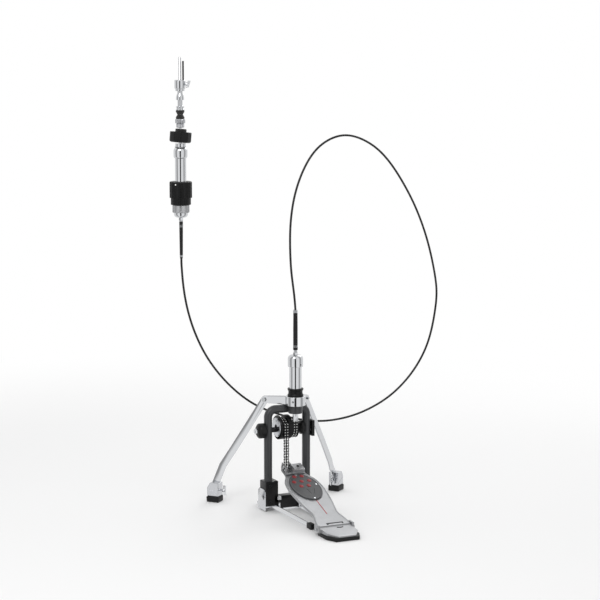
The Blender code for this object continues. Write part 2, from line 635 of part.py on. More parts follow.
def make_front():
    """The crossbar and floor plate between the sockets, with lugs for the two carpet spurs."""
    inner = SIDE_BAR_SPREAD / 2 - SIDE_BAR_THICKNESS - GAP
    plate = piece("floor_plate", block((-inner, -0.008, 0), (inner, 0.020, FLOOR_PLATE_THICKNESS)), CHROME,
                  rounded=False)
    bevel(plate, 0.0008)
    low = FLOOR_PLATE_THICKNESS + GAP
    half = SOCKET_INNER - GAP
    bar = piece("crossbar", slab(
        [(-0.008, low), (-0.008, CROSSBAR_HEIGHT - 0.006), (-0.004, CROSSBAR_HEIGHT),
         (0.014, CROSSBAR_HEIGHT),
         (0.014, low)], -half, half, TURN_ACROSS), BLACK, rounded=False)
    shaft = SPUR_DIAMETER / 2
    hole = shaft + FIT
    spur_x = inner - shaft - 0.0001
    for side, sign in (("left", -1), ("right", 1)):
        at = (sign * spur_x, SPUR_Y, 0)
        near, far = sorted((sign * (spur_x - 0.0045), sign * (spur_x + 0.0045)))
        join(bar, block((near, SPUR_Y - 0.0045, CROSSBAR_HEIGHT - 0.013),
                        (far, -0.0065, CROSSBAR_HEIGHT - 0.0065)))
        cut(bar, turned([(0, 0), (hole, 0), (hole, 0.05), (0, 0.05)], at, steps=12))
        knob = CROSSBAR_HEIGHT - 0.0065 + GAP
        piece(f"{side}_spur", turned(
            [(0, 0.002), (shaft, 0.0085), (shaft, knob), (0.0045, knob), (0.0045, knob + 0.0065),
             (0.003, knob + 0.008), (0, knob + 0.008)], at, steps=14), CHROME, at)


def make_sockets():
    bore = HOOP_TUBE / 2 + GAP
    outer = SIDE_X + bore + SOCKET_WALL
    low = SIDE_BAR_HEIGHT + GAP
    back = SOCKET_BACK + GAP
    for side, sign in (("left", -1), ("right", 1)):
        near, far = sorted((sign * SOCKET_INNER, sign * outer))
        socket = piece(f"{side}_socket", block((near, SOCKET_FRONT, low),
                                               (far, SOCKET_BACK, SOCKET_HEIGHT)), BLACK,
                       rounded=False)
        bevel(socket, 0.0015)
        notch_near, notch_far = sorted((sign * (SOCKET_INNER - 0.01), sign * (SIDE_X - bore - SOCKET_WALL)))
        cut(socket,
            turned([(0, SOCKET_FLOOR), (bore, SOCKET_FLOOR), (bore, 0.1), (0, 0.1)], (sign * SIDE_X, 0, 0),
                   steps=20),
            block((notch_near, SOCKET_FRONT - 0.01, 0), (notch_far, -0.0065, 0.1)))
        near, far = sorted((sign * 0.034, sign * 0.039))
        outline = [(back, 0), (0.068, 0), (0.070, 0.002), *arc((0.054, 0.029), 0.016, 0, 90, 4),
                   (back, 0.045)]
        casting = piece(f"{side}_casting", slab(outline, near, far, TURN_ACROSS), CHROME, rounded=False)
        outside = outer + GAP + CASTING_WALL
        near, far = sorted((sign * 0.029, sign * (outside - 0.0001)))
        join(casting, block((near, back + 0.0001, 0.014), (far, back + 0.0045, 0.044)))
        near, far = sorted((sign * (outer + GAP), sign * outside))
        cover = [(SOCKET_FRONT, 0.003), (back + 0.0046, 0.003), (back + 0.0046, CASTING_TOP - 0.006),
                 (back - 0.0020, CASTING_TOP), (SOCKET_FRONT + 0.006, CASTING_TOP),
                 (SOCKET_FRONT, CASTING_TOP - 0.006)]
        join(casting, slab(cover, near, far, TURN_ACROSS))
        near, far = sorted((sign * 0.028, sign * 0.046))
        join(casting, block((near, back + 0.0002, 0.0001), (far, 0.0692, PAD_HEIGHT)))
        near, far = sorted((sign * (SIDE_BAR_SPREAD / 2 - SIDE_BAR_THICKNESS), sign * SIDE_BAR_SPREAD / 2))
        bar_end = HINGE_Y + 0.072
        piece(f"{side}_side_bar", block((near, bar_end, 0.001), (far, 0.008, SIDE_BAR_HEIGHT)), CHROME,
              rounded=False)


def bar_outline(line, width):
    """Both edges of a flat bar along a line of points, with a round upper end."""
    half = width / 2
    points = [Vector(p) for p in line]
    edges = ([], [])
    for i, point in enumerate(points):
        before = (point - points[i - 1]).normalized() if i else None
        after = (points[i + 1] - point).normalized() if i + 1 < len(points) else None
        if before is None:
            continue
        way = (before + after).normalized() if after else before
        normal = Vector((-way.y, way.x))
        stretch = 1 / normal.dot(Vector((-before.y, before.x)))
        for edge, sign in zip(edges, (-1, 1)):
            edge.append(tuple(point + sign * half * stretch * normal))
    start = math.degrees(math.atan2(*(points[1] - points[0]).yx))
    head = arc(points[0], half, start + 90, start + 270, 8)
    return head + edges[0] + list(reversed(edges[1]))


def leg_place(bearing):
    """A leg's own axes: X out from the tube, Y up, Z across the leg."""
    out = Vector((math.cos(math.radians(bearing)), math.sin(math.radians(bearing)), 0))
    side = out.cross(Vector((0, 0, 1)))
    place = Matrix((out, Vector((0, 0, 1)), side)).transposed().to_4x4()
    place.translation = Vector(TUBE_AT)
    return place


def make_legs():
    """The collar with its two forks, and in each fork a flat leg on a bolt, with its foot."""
    bore = TUBE_DIAMETER / 2 + FIT
    top = LEG_COLLAR_BOTTOM + LEG_COLLAR_HEIGHT
    collar = piece("leg_collar", turned(
        [(bore, LEG_COLLAR_BOTTOM), (LEG_COLLAR_DIAMETER / 2, LEG_COLLAR_BOTTOM),
         (LEG_COLLAR_DIAMETER / 2, top),
         (bore, top)], TUBE_AT, steps=24, ring=True), CHROME, (TUBE_X, TUBE_Y, LEG_COLLAR_BOTTOM))
    inside = LEG_THICKNESS / 2 + FIT
    round_end = LEG_WIDTH / 2 - 0.0003
    hole = BOLT_DIAMETER / 2 + FIT
    for side, (bearing, line, foot) in LEGS.items():
        place = leg_place(bearing)
        pivot = line[0]
        out = place.to_3x3() @ Vector((0, 0, 1))
        at = place @ Vector((*pivot, 0))
        root = LEG_COLLAR_DIAMETER / 2 - 0.0040
        arm = [(root, LEG_COLLAR_BOTTOM + 0.0004), *arc(pivot, round_end, -70, 90, 6), (root, top - 0.0020)]
        for low, high in ((-inside - FORK_WALL, -inside), (inside, inside + FORK_WALL)):
            join(collar, slab(arm, low, high, place))
        cut(collar, turned([(0, -0.02), (hole, -0.02), (hole, 0.02), (0, 0.02)], at, out, 12))
        leg = piece(f"{side}_leg", slab(bar_outline(line, LEG_WIDTH), -LEG_THICKNESS / 2,
                                        LEG_THICKNESS / 2, place),
                    CHROME, tuple(at), rounded=False)
        cut(leg, turned([(0, -0.02), (hole, -0.02), (hole, 0.02), (0, 0.02)], at, out, 12))
        face = inside + FORK_WALL + GAP
        shank = BOLT_DIAMETER / 2
        piece(f"{side}_leg_bolt", turned(
            [(0, -face - 0.003), (0.0055, -face - 0.003), (0.0055, -face), (shank, -face),
             (shank, face + 0.003),
             (0, face + 0.003)], at, out, 12), CHROME, tuple(at))
        make_foot(side, bearing, line, foot)


def make_foot(side, bearing, line, foot):
    """The bracket on a leg's end, the rubber foot below it, and the wing screw that clamps it."""
    place = leg_place(bearing)
    half = FOOT_LENGTH / 2
    wide = FOOT_WIDTH / 2
    shape = [(foot - half, 0), (foot + half, 0), (foot + half + 0.001, FOOT_HEIGHT - 0.003),
             (foot + half - 0.001, FOOT_HEIGHT), (foot - half, FOOT_HEIGHT)]
    rubber = piece(f"{side}_rubber_foot", slab(shape, -wide, wide, place), RUBBER, rounded=False)
    bevel(rubber, 0.0015)
    low = FOOT_HEIGHT + GAP
    top = low + BRACKET_HEIGHT
    inner = foot - half + 0.0010
    outer = foot + half - 0.0010
    shape = [(inner, low), (outer, low), (outer, top - 0.012), (outer - 0.007, top), (inner, top)]
    bracket = piece(f"{side}_foot_bracket", slab(shape, -wide + 0.0015, wide - 0.0015, place), CHROME,
                    rounded=False)
    bevel(bracket, 0.001)
    slot = LEG_THICKNESS / 2 + GAP
    end = Vector(line[-1]) + (Vector(line[-1]) - Vector(line[-2])).normalized() * GAP
    cut(bracket, slab(bar_outline([*line[:-1], end], LEG_WIDTH + 2 * GAP), -slot, slot, place))
    screw_z = low + 0.0140
    (x0, z0), (x1, z1) = line[-2], line[-1]
    slope = (x1 - x0) / (z1 - z0)
    edge = x0 + slope * (screw_z - z0) - LEG_WIDTH / 2 * math.hypot(1, slope)
    way = place.to_3x3() @ Vector((-1, 0, 0))
    at = place @ Vector((0, screw_z, 0))
    shank = 0.0024
    start = shank * abs(slope) + GAP - edge
    out = -inner + 0.0065
    cut(bracket, turned([(0, start - 0.01), (shank + FIT, start - 0.01), (shank + FIT, out), (0, out)], at,
                        way, 12))
    screw = piece(f"{side}_foot_screw", turned(
        [(0, start), (shank, start), (shank, out), (0.0045, out), (0.0038, out + 0.006), (0, out + 0.006)],
        at, way, 12), CHROME, tuple(at - way * edge))
    join(screw, block((-out - 0.0080, screw_z - 0.0115, -0.0012),
                      (-out - 0.0015, screw_z + 0.0115, 0.0012), place))


def make_head():
    """The head: cable adjuster, dome, ring and sleeve below, the tube with its spring, and the seat above."""
    at = (HEAD_X, HEAD_Y, 0)
    tube = HEAD_TUBE_DIAMETER / 2
    inside = tube - HEAD_TUBE_WALL
    dome_low = UPPER_NIPPLE_BOTTOM + 0.009 + GAP
    dome = DOME_DIAMETER / 2
    ring_low = dome_low + 0.0114
    ring_top = ring_low + 0.0177
    sleeve_low = ring_top + GAP
    piece("head_dome", turned(
        [(WIRE_BORE, UPPER_NIPPLE_BOTTOM), (0.0040, UPPER_NIPPLE_BOTTOM),
         (0.0052, UPPER_NIPPLE_BOTTOM + 0.003),
         (0.0052, dome_low), (0.0080, dome_low), (dome - 0.004, dome_low + 0.003), (dome, dome_low + 0.0080),
         (dome, ring_low - GAP), (tube, ring_low - GAP), (tube, HEAD_TUBE_BOTTOM - GAP),
         (ROD_BORE, HEAD_TUBE_BOTTOM - GAP), (ROD_BORE, dome_low), (WIRE_BORE, dome_low)],
        at, steps=24, ring=True), CHROME)
    bore = tube + FIT
    piece("tuning_ring", turned(
        [(bore, ring_low), (RING_DIAMETER / 2, ring_low), (RING_DIAMETER / 2, ring_top), (bore, ring_top)],
        at, steps=24, ring=True), KNURLED, (HEAD_X, HEAD_Y, ring_low))
    sleeve = SLEEVE_DIAMETER / 2
    piece("tension_sleeve", turned(
        [(bore, sleeve_low), (sleeve - 0.0025, sleeve_low), (sleeve - 0.0025, sleeve_low + 0.0155),
         (sleeve, sleeve_low + 0.0160), (sleeve, sleeve_low + 0.0515),
         (sleeve - 0.0015, sleeve_low + 0.0525),
         (bore, sleeve_low + 0.0525)], at, steps=24, ring=True), BLACK, (HEAD_X, HEAD_Y, sleeve_low))
    shelf = HEAD_TUBE_BOTTOM + SHELF_THICKNESS
    piece("head_tube", turned(
        [(ROD_BORE, HEAD_TUBE_BOTTOM), (tube, HEAD_TUBE_BOTTOM), (tube, HEAD_TUBE_TOP),
         (inside, HEAD_TUBE_TOP),
         (inside, shelf), (ROD_BORE, shelf)], at, steps=24, ring=True), CHROME)
    collar = HEAD_TUBE_TOP + GAP
    piece("head_collar", turned(
        [(ROD_BORE, collar), (0.0140, collar), (0.0158, collar + 0.0030), (0.0158, collar + 0.0165),
         (0.0135, collar + 0.0220), (0.01215, collar + 0.0238), (0.01215, collar + 0.0328),
         (ROD_BORE, collar + 0.0328)], at, steps=24, ring=True), CHROME)
    make_pull(at, shelf, inside)
    make_seat(at, collar + 0.0353)


def make_pull(at, shelf, inside):
    """The head's pull rod, the washer on it, and the spring that lifts it."""
    rod = PULL_ROD_DIAMETER / 2
    washer = HEAD_TUBE_TOP - 0.012
    bottom = HEAD_TUBE_BOTTOM - 0.018
    piece("upper_rod", turned(
        [(0, bottom), (rod, bottom), (rod, washer - 0.003), (inside - 0.0006, washer - 0.003),
         (inside - 0.0006, washer), (rod, washer), (rod, PULL_ROD_TOP - 0.001), (rod - 0.0006, PULL_ROD_TOP),
         (0, PULL_ROD_TOP)], at, steps=12), CHROME, (HEAD_X, HEAD_Y, washer))
    make_spring("head_spring", at, shelf, washer - 0.003, (rod + FIT + inside) / 2)


def make_seat(at, low):
    """The tilting cup with the felt that the lower cymbal lies on."""
    edge = SEAT_DIAMETER / 2
    hole = 0.0065
    centre = (HEAD_X, HEAD_Y, low + 0.0085)
    boss = low + 0.0222
    tilt = Matrix.Translation(centre) @ Matrix.Rotation(SEAT_TILT, 4, "Y") @ Matrix.Translation(
        [-c for c in centre])
    cup = turned(
        [(hole, low), (edge - 0.0034, low), (edge, low + 0.0035), (edge, low + 0.0235),
         (edge - 0.002, low + 0.0235),
         (edge - 0.0032, low + 0.0145), (0.0145, low + 0.0145), (0.0132, boss), (hole, boss)],
        at, steps=24, ring=True)
    cup.transform(tilt)
    piece("seat_cup", cup, BLACK, centre)
    felt = turned([(hole, boss + GAP), (0.0127, boss + GAP), (0.0127, boss + 0.0085), (hole, boss + 0.0085)],
                  at, steps=20, ring=True)
    felt.transform(tilt)
    piece("seat_felt", felt, FELT, centre)


def make_clutch():
    """The clutch that grips the pull rod and holds the upper cymbal between its felts."""
    at = (HEAD_X, HEAD_Y, 0)
    tube = CLUTCH_TUBE / 2
    felt = FELT_DIAMETER / 2
    bore = tube + GAP
    low = CLUTCH_BOTTOM
    nut = low + 0.0002
    big_nut = nut + 0.0092
    lower_felt = big_nut + 0.0102
    upper_felt = lower_felt + 0.0098
    flange = upper_felt + 0.0099
    slim = flange + 0.0091
    bell = slim + 0.0135
    neck = bell + 0.0159
    body = neck + 0.0045
    origin = (HEAD_X, HEAD_Y, body)
    piece("clutch_tube", turned(
        [(ROD_BORE, low), (tube, low), (tube, flange), (0.0092, flange), (0.0092, slim), (0.0057, slim),
         (0.0057, bell), (0.0092, bell), (0.0088, bell + 0.007), (0.0060, neck), (0.0060, body - GAP),
         (ROD_BORE, body - GAP)], at, steps=20, ring=True), CHROME, origin)
    piece("clutch_nuts", turned(
        [(bore, nut), (0.0092, nut), (0.0092, big_nut - 0.001), (0.0078, big_nut - 0.0005),
         (0.0078, big_nut),
         (0.0115, big_nut), (0.0115, lower_felt - GAP), (bore, lower_felt - GAP)],
        at, steps=20, ring=True), CHROME, origin)
    piece("lower_felt", turned(
        [(bore, lower_felt), (felt, lower_felt), (felt, lower_felt + 0.004), (0.0064, upper_felt - GAP),
         (bore, upper_felt - GAP)], at, steps=16, ring=True), FELT, origin)
    piece("upper_felt", turned(
        [(bore, upper_felt), (0.0064, upper_felt), (felt, flange - 0.0045), (felt, flange - GAP),
         (bore, flange - GAP)], at, steps=16, ring=True), FELT, origin)
    grip = CLUTCH_DIAMETER / 2
    clutch = piece("clutch_body", turned(
        [(ROD_BORE, body), (grip - 0.0020, body), (grip - 0.0020, body + 0.0045), (grip, body + 0.0060),
         (grip, body + 0.0238), (grip - 0.001, body + 0.0248), (ROD_BORE, body + 0.0248)],
        at, steps=20, ring=True), CHROME, origin)
    way = Vector((math.cos(math.radians(-35)), math.sin(math.radians(-35)), 0))
    centre = (HEAD_X, HEAD_Y, body + 0.0155)
    shank = 0.0026
    start = ROD_BORE + GAP
    out = grip + 0.0015
    cut(clutch, turned([(0, 0.002), (shank + FIT, 0.002), (shank + FIT, out + 0.01), (0, out + 0.01)],
                       centre, way, 12))
    screw = piece("clutch_screw", turned(
        [(0, start), (shank, start), (shank, out), (0.0044, out), (0.0036, out + 0.006), (0, out + 0.006)],
        centre, way, 12), CHROME, centre)
    turn = Vector((1, 0, 0)).rotation_difference(way).to_matrix().to_4x4()
    wings = Matrix.Translation(centre) @ turn @ Matrix.Rotation(math.radians(35), 4, "X")
    join(screw, block((out + 0.0022, -0.0115, -0.0012), (out + 0.0085, 0.0115, 0.0012), wings))


make_hoop()
make_base_tube()
make_boots()
make_cable()
make_pull_rod()
make_axle()
make_drive_chain()
make_footboard()
make_heel()
make_front()
make_sockets()
make_legs()
make_head()
make_clutch()
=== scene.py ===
import math

import bmesh
import bpy
from mathutils import Matrix, Vector


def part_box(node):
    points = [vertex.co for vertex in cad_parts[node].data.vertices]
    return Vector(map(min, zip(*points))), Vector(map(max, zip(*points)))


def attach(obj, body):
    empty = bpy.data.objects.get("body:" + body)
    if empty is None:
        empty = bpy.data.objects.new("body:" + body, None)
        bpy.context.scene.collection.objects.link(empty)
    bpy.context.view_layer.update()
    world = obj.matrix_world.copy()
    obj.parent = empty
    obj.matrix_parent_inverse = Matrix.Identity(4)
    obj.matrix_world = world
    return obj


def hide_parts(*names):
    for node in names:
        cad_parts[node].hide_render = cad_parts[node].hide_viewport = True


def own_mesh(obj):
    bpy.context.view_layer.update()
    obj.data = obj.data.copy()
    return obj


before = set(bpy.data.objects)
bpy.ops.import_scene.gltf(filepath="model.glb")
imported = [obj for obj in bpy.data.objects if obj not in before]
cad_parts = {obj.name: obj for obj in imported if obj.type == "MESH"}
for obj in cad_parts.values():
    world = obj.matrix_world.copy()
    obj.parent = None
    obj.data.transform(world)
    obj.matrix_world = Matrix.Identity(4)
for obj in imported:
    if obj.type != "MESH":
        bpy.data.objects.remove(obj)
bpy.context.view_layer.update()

# The camera stands low to the player's left of the footboard, looking up the board a little from above, with
# a long lens. Colours are shown as they are, with no film curve.
lens = bpy.data.cameras.new("camera")
lens.lens = 122.46
lens.clip_end = 100
camera = bpy.data.objects.new("camera", lens)
camera.location = (-1.9329, -4.2157, 1.1758)
camera.rotation_euler = (math.radians(90 - 8.4), 0, math.radians(-25))
bpy.context.collection.objects.link(camera)
bpy.context.scene.camera = camera
bpy.context.scene.view_settings.view_transform = "Standard"


# The control cable: a wound steel wire in a drawn PVC jacket. It is pushed into a nipple at the base and one at
# the head, and between them it stands in one open loop that its own stiffness holds.
MM = 0.001  # lengths from here to the room are in millimetres, made metres where a mesh or texture needs it


def linear(code):
    """An sRGB hex colour as linear red, green, blue and alpha."""
    shares = [int(code[i:i + 2], 16) / 255 for i in (1, 3, 5)]
    return (*[s / 12.92 if s <= 0.04045 else ((s + 0.055) / 1.055) ** 2.4 for s in shares], 1.0)


def add(material, kind, inputs=None, **settings):
    """Adds a shader node, with its settings, and its inputs set or linked."""
    made = material.node_tree.nodes.new("ShaderNode" + kind)
    for key, value in settings.items():
        setattr(made, key, value)
    for key, value in (inputs or {}).items():
        if isinstance(value, bpy.types.NodeSocket):
            material.node_tree.links.new(value, made.inputs[key])
        else:
            made.inputs[key].default_value = value
    return made


def surface(name, slot, shades, rough, grain, depth, stain=40, metallic=0.0, **constants):
    """A finish: two shades in patches `stain` mm across, and a grain of `grain` mm in its gloss and relief."""
    material = bpy.data.materials.new(name)
    material.use_nodes = True
    material.node_tree.nodes.clear()
    place = add(material, "TexCoord").outputs["Object"]
    patch = add(material, "TexNoise", {"Vector": place, "Scale": 1 / (stain * MM), "Detail": 3.0})
    speck = add(material, "TexNoise", {"Vector": place, "Scale": 1 / (grain * MM), "Detail": 4.0,
        "Roughness": 0.6})
    mixed = add(material, "MixRGB", {"Fac": patch.outputs[0], "Color1": linear(shades[0]),
        "Color2": linear(shades[1])})
    gloss = add(material, "MapRange", {"Value": speck.outputs[0], "From Min": 0.3, "From Max": 0.7,
        "To Min": rough[0], "To Max": rough[1]})
    relief = add(material, "Bump", {"Height": speck.outputs[0], "Distance": depth * MM, "Strength": 1.0})
    inputs = {"Base Color": mixed.outputs[0], "Roughness": gloss.outputs[0], "Normal": relief.outputs[0],
        "Metallic": metallic}
    for key, value in constants.items():
        inputs[key.replace("_", " ")] = value
    shader = add(material, "BsdfPrincipled", inputs)
    add(material, "OutputMaterial", {"Surface": shader.outputs[0]})
    return material


# Drawn PVC: near black, with a soft sheen that the die leaves.
PVC = surface("drawn_pvc_jacket", "rubber", ("#0A0A0B", "#121213"), (0.32, 0.46), 1.5, 0.04, IOR=1.45)


def smooth_line(route, step):
    """Points about a step apart on a smooth curve through the route's own points."""
    route = [Vector(p) for p in route]
    ends = [2 * route[0] - route[1], *route, 2 * route[-1] - route[-2]]
    line = []
    for a, b, c, d in zip(ends, ends[1:], ends[2:], ends[3:]):
        parts = max(1, round((c - b).length / step))
        for k in range(parts):
            t = k / parts
            line.append(0.5 * (2 * b + (c - a) * t + (2 * a - 5 * b + 4 * c - d) * t ** 2
                               + (3 * b - a - 3 * c + d) * t ** 3))
    return [*line, route[-1]]


CABLE_DIAMETER = 5
CABLE_ROUTE = [
    (-224, 90, 588.8), (-223.8, 90.5, 580), (-220.5, 93, 538.6), (-213.2, 95, 491.6), (-200.7, 97, 444),
    (-181.8, 98, 395.8), (-155, 99, 346.8), (-113.4, 100, 294), (-62.8, 100, 248), (-16.9, 100, 219.7),
    (53.3, 100, 192.5), (120, 100, 177.5), (172.2, 100, 176.4), (224.7, 98, 184.2), (277.6, 96, 202.4),
    (329.8, 92, 233.5), (380, 87, 285.5), (416, 81, 355.7), (432, 74, 454.1), (426.2, 68, 503.8),
    (398.3, 61, 603.4), (351.9, 52, 702.3), (286.6, 43, 795.3), (230, 36, 842.6), (160.9, 28, 865.7),
    (98, 19, 847), (59, 12, 810.1), (33, 5, 765.7), (16.5, 0, 720.8), (4, -8, 653.3), (2.6, -16, 562.4),
    (8, -19.5, 516.5), (11.8, -20, 480), (12, -20, 470.5),
]
cable_line = smooth_line(CABLE_ROUTE, 8)
for _ in range(16):  # the stiff cable evens out its own bends
    inner = [(a + 2 * b + c) / 4 for a, b, c in zip(cable_line[2:], cable_line[3:], cable_line[4:])]
    cable_line[3:-1] = inner
jacket = bpy.data.curves.new("cable_jacket", "CURVE")
jacket.dimensions = "3D"
jacket.bevel_depth = CABLE_DIAMETER / 2 * MM
jacket.bevel_resolution = 5
jacket.use_fill_caps = True
run = jacket.splines.new("POLY")
run.points.add(len(cable_line) - 1)
for point, place in zip(run.points, cable_line):
    point.co = (*(place * MM), 1)
jacket.materials.append(PVC)
cable = bpy.data.objects.new("cable_jacket", jacket)
bpy.context.collection.objects.link(cable)
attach(cable, "root")
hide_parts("cable")


# The cable's end sleeves: black rubber tube pushed over the jacket, held at both ends by crimped steel
# ferrules.
def turned(profile, at, along=(0, 0, 1), steps=64, wave=None):
    """A round shape about `along` through `at`, from (radius, height): a profile that starts on the axis, or
    else the section of a ring. `wave` may change a radius."""
    bm = bmesh.new()
    loops = []
    for radius, height in profile:
        if radius == 0:
            loops.append([bm.verts.new((0, 0, height))])
            continue
        loop = []
        for i in range(steps):
            a = 2 * math.pi * i / steps
            r = radius + (wave(a, radius, height) if wave else 0)
            loop.append(bm.verts.new((r * math.cos(a), r * math.sin(a), height)))
        loops.append(loop)
    pairs = list(zip(loops, loops[1:]))
    if profile[0][0]:
        pairs.append((loops[-1], loops[0]))
    for low, high in pairs:
        for i in range(steps):
            j = (i + 1) % steps
            corners = [low[i % len(low)], low[j % len(low)], high[j % len(high)], high[i % len(high)]]
            bm.faces.new(list(dict.fromkeys(corners)))
    bmesh.ops.recalc_face_normals(bm, faces=bm.faces)
    turn = Vector((0, 0, 1)).rotation_difference(Vector(along)).to_matrix().to_4x4()
    bm.transform(Matrix.Translation(at) @ turn)
    return bm


def fit(name, bm, material, body, stands_for=(), edge=0.0, steps=2, unit=MM):
    """Puts a piece on its body, with its edges eased by `edge`, in place of the solids that it stands for."""
    bm.transform(Matrix.Scale(unit, 4))
    mesh = bpy.data.meshes.new(name)
    bm.to_mesh(mesh)
    bm.free()
    mesh.materials.append(material)
    mesh.shade_smooth()
    obj = bpy.data.objects.new(name, mesh)
    bpy.context.collection.objects.link(obj)
    if edge:
        ease = obj.modifiers.new("eased_edges", "BEVEL")
        ease.width = edge * MM
        ease.segments = steps
        ease.limit_method = "ANGLE"
        ease.angle_limit = math.radians(34)
        ease.harden_normals = True
    else:
        mesh.set_sharp_from_angle(angle=math.radians(34))
    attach(obj, body)
    if stands_for:
        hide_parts(*stands_for)
    return obj


def joined(*shapes):
    """Several shapes as one."""
    whole = shapes[0]
    for bm in shapes[1:]:
        part = bpy.data.meshes.new("part")
        bm.to_mesh(part)
        bm.free()
        whole.from_mesh(part)
        bpy.data.meshes.remove(part)
    return whole


def box(node):
    """A solid's low and high corner, in millimetres."""
    return [Vector(corner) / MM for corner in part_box(node)]


def middle(node):
    """The middle of a solid's box."""
    low, high = box(node)
    return (low + high) / 2


# Extruded rubber tube: matt black with a fine dusty grain.
SLEEVE_RUBBER = surface("extruded_rubber_sleeve", "rubber", ("#0A0A0B", "#131314"), (0.5, 0.7), 1.2, 0.08,
    IOR=1.42)
# Bright nickel-chrome plate on polished steel: a mirror, with faint polishing marks that only soften the gloss.
CHROME = surface("bright_chrome_plate", "chrome", ("#D9DADC", "#CDCFD2"), (0.05, 0.11), 6, 0.01, metallic=1.0)
# Crimped ferrule: bare zinc-plated steel, brighter on the crimps.
FERRULE = surface("zinc_plated_ferrule", "chrome", ("#C6C8CA", "#B3B5B8"), (0.18, 0.3), 2, 0.03, metallic=1.0)


def upright(node, z=0.0):
    """A point at a height on the upright axis through a solid."""
    return Vector((*middle(node).xy, z))


base_axis = upright("base_tube")
head_axis = upright("head_tube")


def sleeve_end(low, high, radius):
    """A ferrule between two heights, with its two crimped grooves."""
    deep = radius - 0.7
    share = (high - low) / 8
    return [(0, low), (radius - 0.4, low), (radius, low + share * 0.5), (radius, low + 2 * share),
        (deep, low + 2.6 * share), (deep, low + 3.2 * share), (radius, low + 3.8 * share),
        (radius, low + 4.8 * share), (deep, low + 5.4 * share), (deep, low + 6 * share),
        (radius, low + 6.6 * share), (radius, high - share * 0.4), (radius - 0.4, high), (0, high)]


low, high = box("lower_boot")
fit("base_sleeve", turned([(0, low.z), (5.4, low.z), (5.4, low.z + 5.6), (5.2, low.z + 5.8), (5.2, low.z + 50),
    (4.9, high.z - 6.7), (0, high.z - 6.7)], base_axis), SLEEVE_RUBBER, "root", ("lower_boot",), 0.3)
fit("base_sleeve_ferrules", joined(turned(sleeve_end(low.z + 5.7, low.z + 10.5, 5.6), base_axis),
    turned(sleeve_end(high.z - 6.9, high.z, 5.6), base_axis)), FERRULE, "root")
low, high = box("upper_boot")
fit("head_sleeve", turned([(0, low.z + 7), (3.6, low.z + 7), (4.2, high.z - 12), (4.3, high.z), (0, high.z)],
    head_axis), SLEEVE_RUBBER, "root", ("upper_boot",), 0.3)
fit("head_sleeve_ferrules", joined(turned(sleeve_end(low.z + 3.2, low.z + 8, 4.0), head_axis),
    turned(sleeve_end(high.z - 12.4, high.z - 7.4, 4.6), head_axis)), FERRULE, "root")
fit("head_cable_stub", turned([(0, low.z), (3.2, low.z), (3.2, low.z + 3.3), (0, low.z + 3.3)], head_axis),
    SLEEVE_RUBBER, "root", (), 0.3)


# The hoop: one steel tube bent to an arch, powder-coated graphite, with the base tube's hub welded to the front
# of its top bar. Its feet stand in the black castings.
def swept(points, radius, sides=40):
    """A round bar along a line of points; `radius` is a number, or a list with one for each point."""
    bm = bmesh.new()
    points = [Vector(p) for p in points]
    count = len(points)
    radii = radius if isinstance(radius, list) else [radius] * count
    loops = []
    across = None
    for i, point in enumerate(points):
        ahead = (points[min(i + 1, count - 1)] - points[max(i - 1, 0)]).normalized()
        across = (across or ahead.orthogonal()).normalized()
        across = (across - ahead * across.dot(ahead)).normalized()
        other = ahead.cross(across)
        turns = [2 * math.pi * k / sides for k in range(sides)]
        ring = [point + radii[i] * (math.cos(a) * across + math.sin(a) * other) for a in turns]
        loops.append([bm.verts.new(spot) for spot in ring])
    bm.faces.new(loops[0])
    bm.faces.new(loops[-1])
    for low, high in zip(loops, loops[1:]):
        for k in range(sides):
            j = (k + 1) % sides
            bm.faces.new((low[k], low[j], high[j], high[k]))
    bmesh.ops.recalc_face_normals(bm, faces=bm.faces)
    return bm


def arc(centre, radius, start, end, steps):
    """Points round part of a circle, from `start` to `end` degrees."""
    turns = [math.radians(start + (end - start) * i / steps) for i in range(steps + 1)]
    return [(centre[0] + radius * math.cos(a), centre[1] + radius * math.sin(a)) for a in turns]


# Powder coat on steel: dark graphite, satin, with the slow orange peel of fused powder.
POWDER = surface("graphite_powder_coat", "graphite_paint", ("#2F3032", "#38393B"), (0.3, 0.42), 2.5, 0.10,
    IOR=1.45, Coat_Weight=0.12, Coat_Roughness=0.25)
HOOP_TUBE = 19
HOOP_BEND = 18
HOOP_HEIGHT = 238  # of the top bar's middle line
low, high = box("hoop_frame")
side_x = high.x - HOOP_TUBE / 2
shoulder = HOOP_HEIGHT - HOOP_BEND
line = [(-side_x, low.z), *arc((HOOP_BEND - side_x, shoulder), HOOP_BEND, 180, 90, 24),
    *arc((side_x - HOOP_BEND, shoulder), HOOP_BEND, 90, 0, 24), (side_x, low.z)]
fit("bent_hoop_tube", swept([(x, 0, z) for x, z in line], HOOP_TUBE / 2, 56), POWDER, "root", ("hoop_frame",),
    0.4)
HUB_RADIUS = 16.5
HUB_HEIGHT = 19.9
COLLAR_BORE = 14.6  # of all that is slipped over the base tube
hub_low = box("base_tube")[0].z
hub_high = hub_low + HUB_HEIGHT
fit("hoop_hub", turned([(COLLAR_BORE, hub_low), (HUB_RADIUS, hub_low), (HUB_RADIUS, hub_high),
    (COLLAR_BORE, hub_high)], base_axis, steps=72), POWDER, "root", (), 0.8, 3)
BEAD_FROM, BEAD_TO = 140.4, 39.6  # bearings round the hub where its bead meets the bar's sides
bead = []
reach = HOOP_TUBE / 2 - 0.05
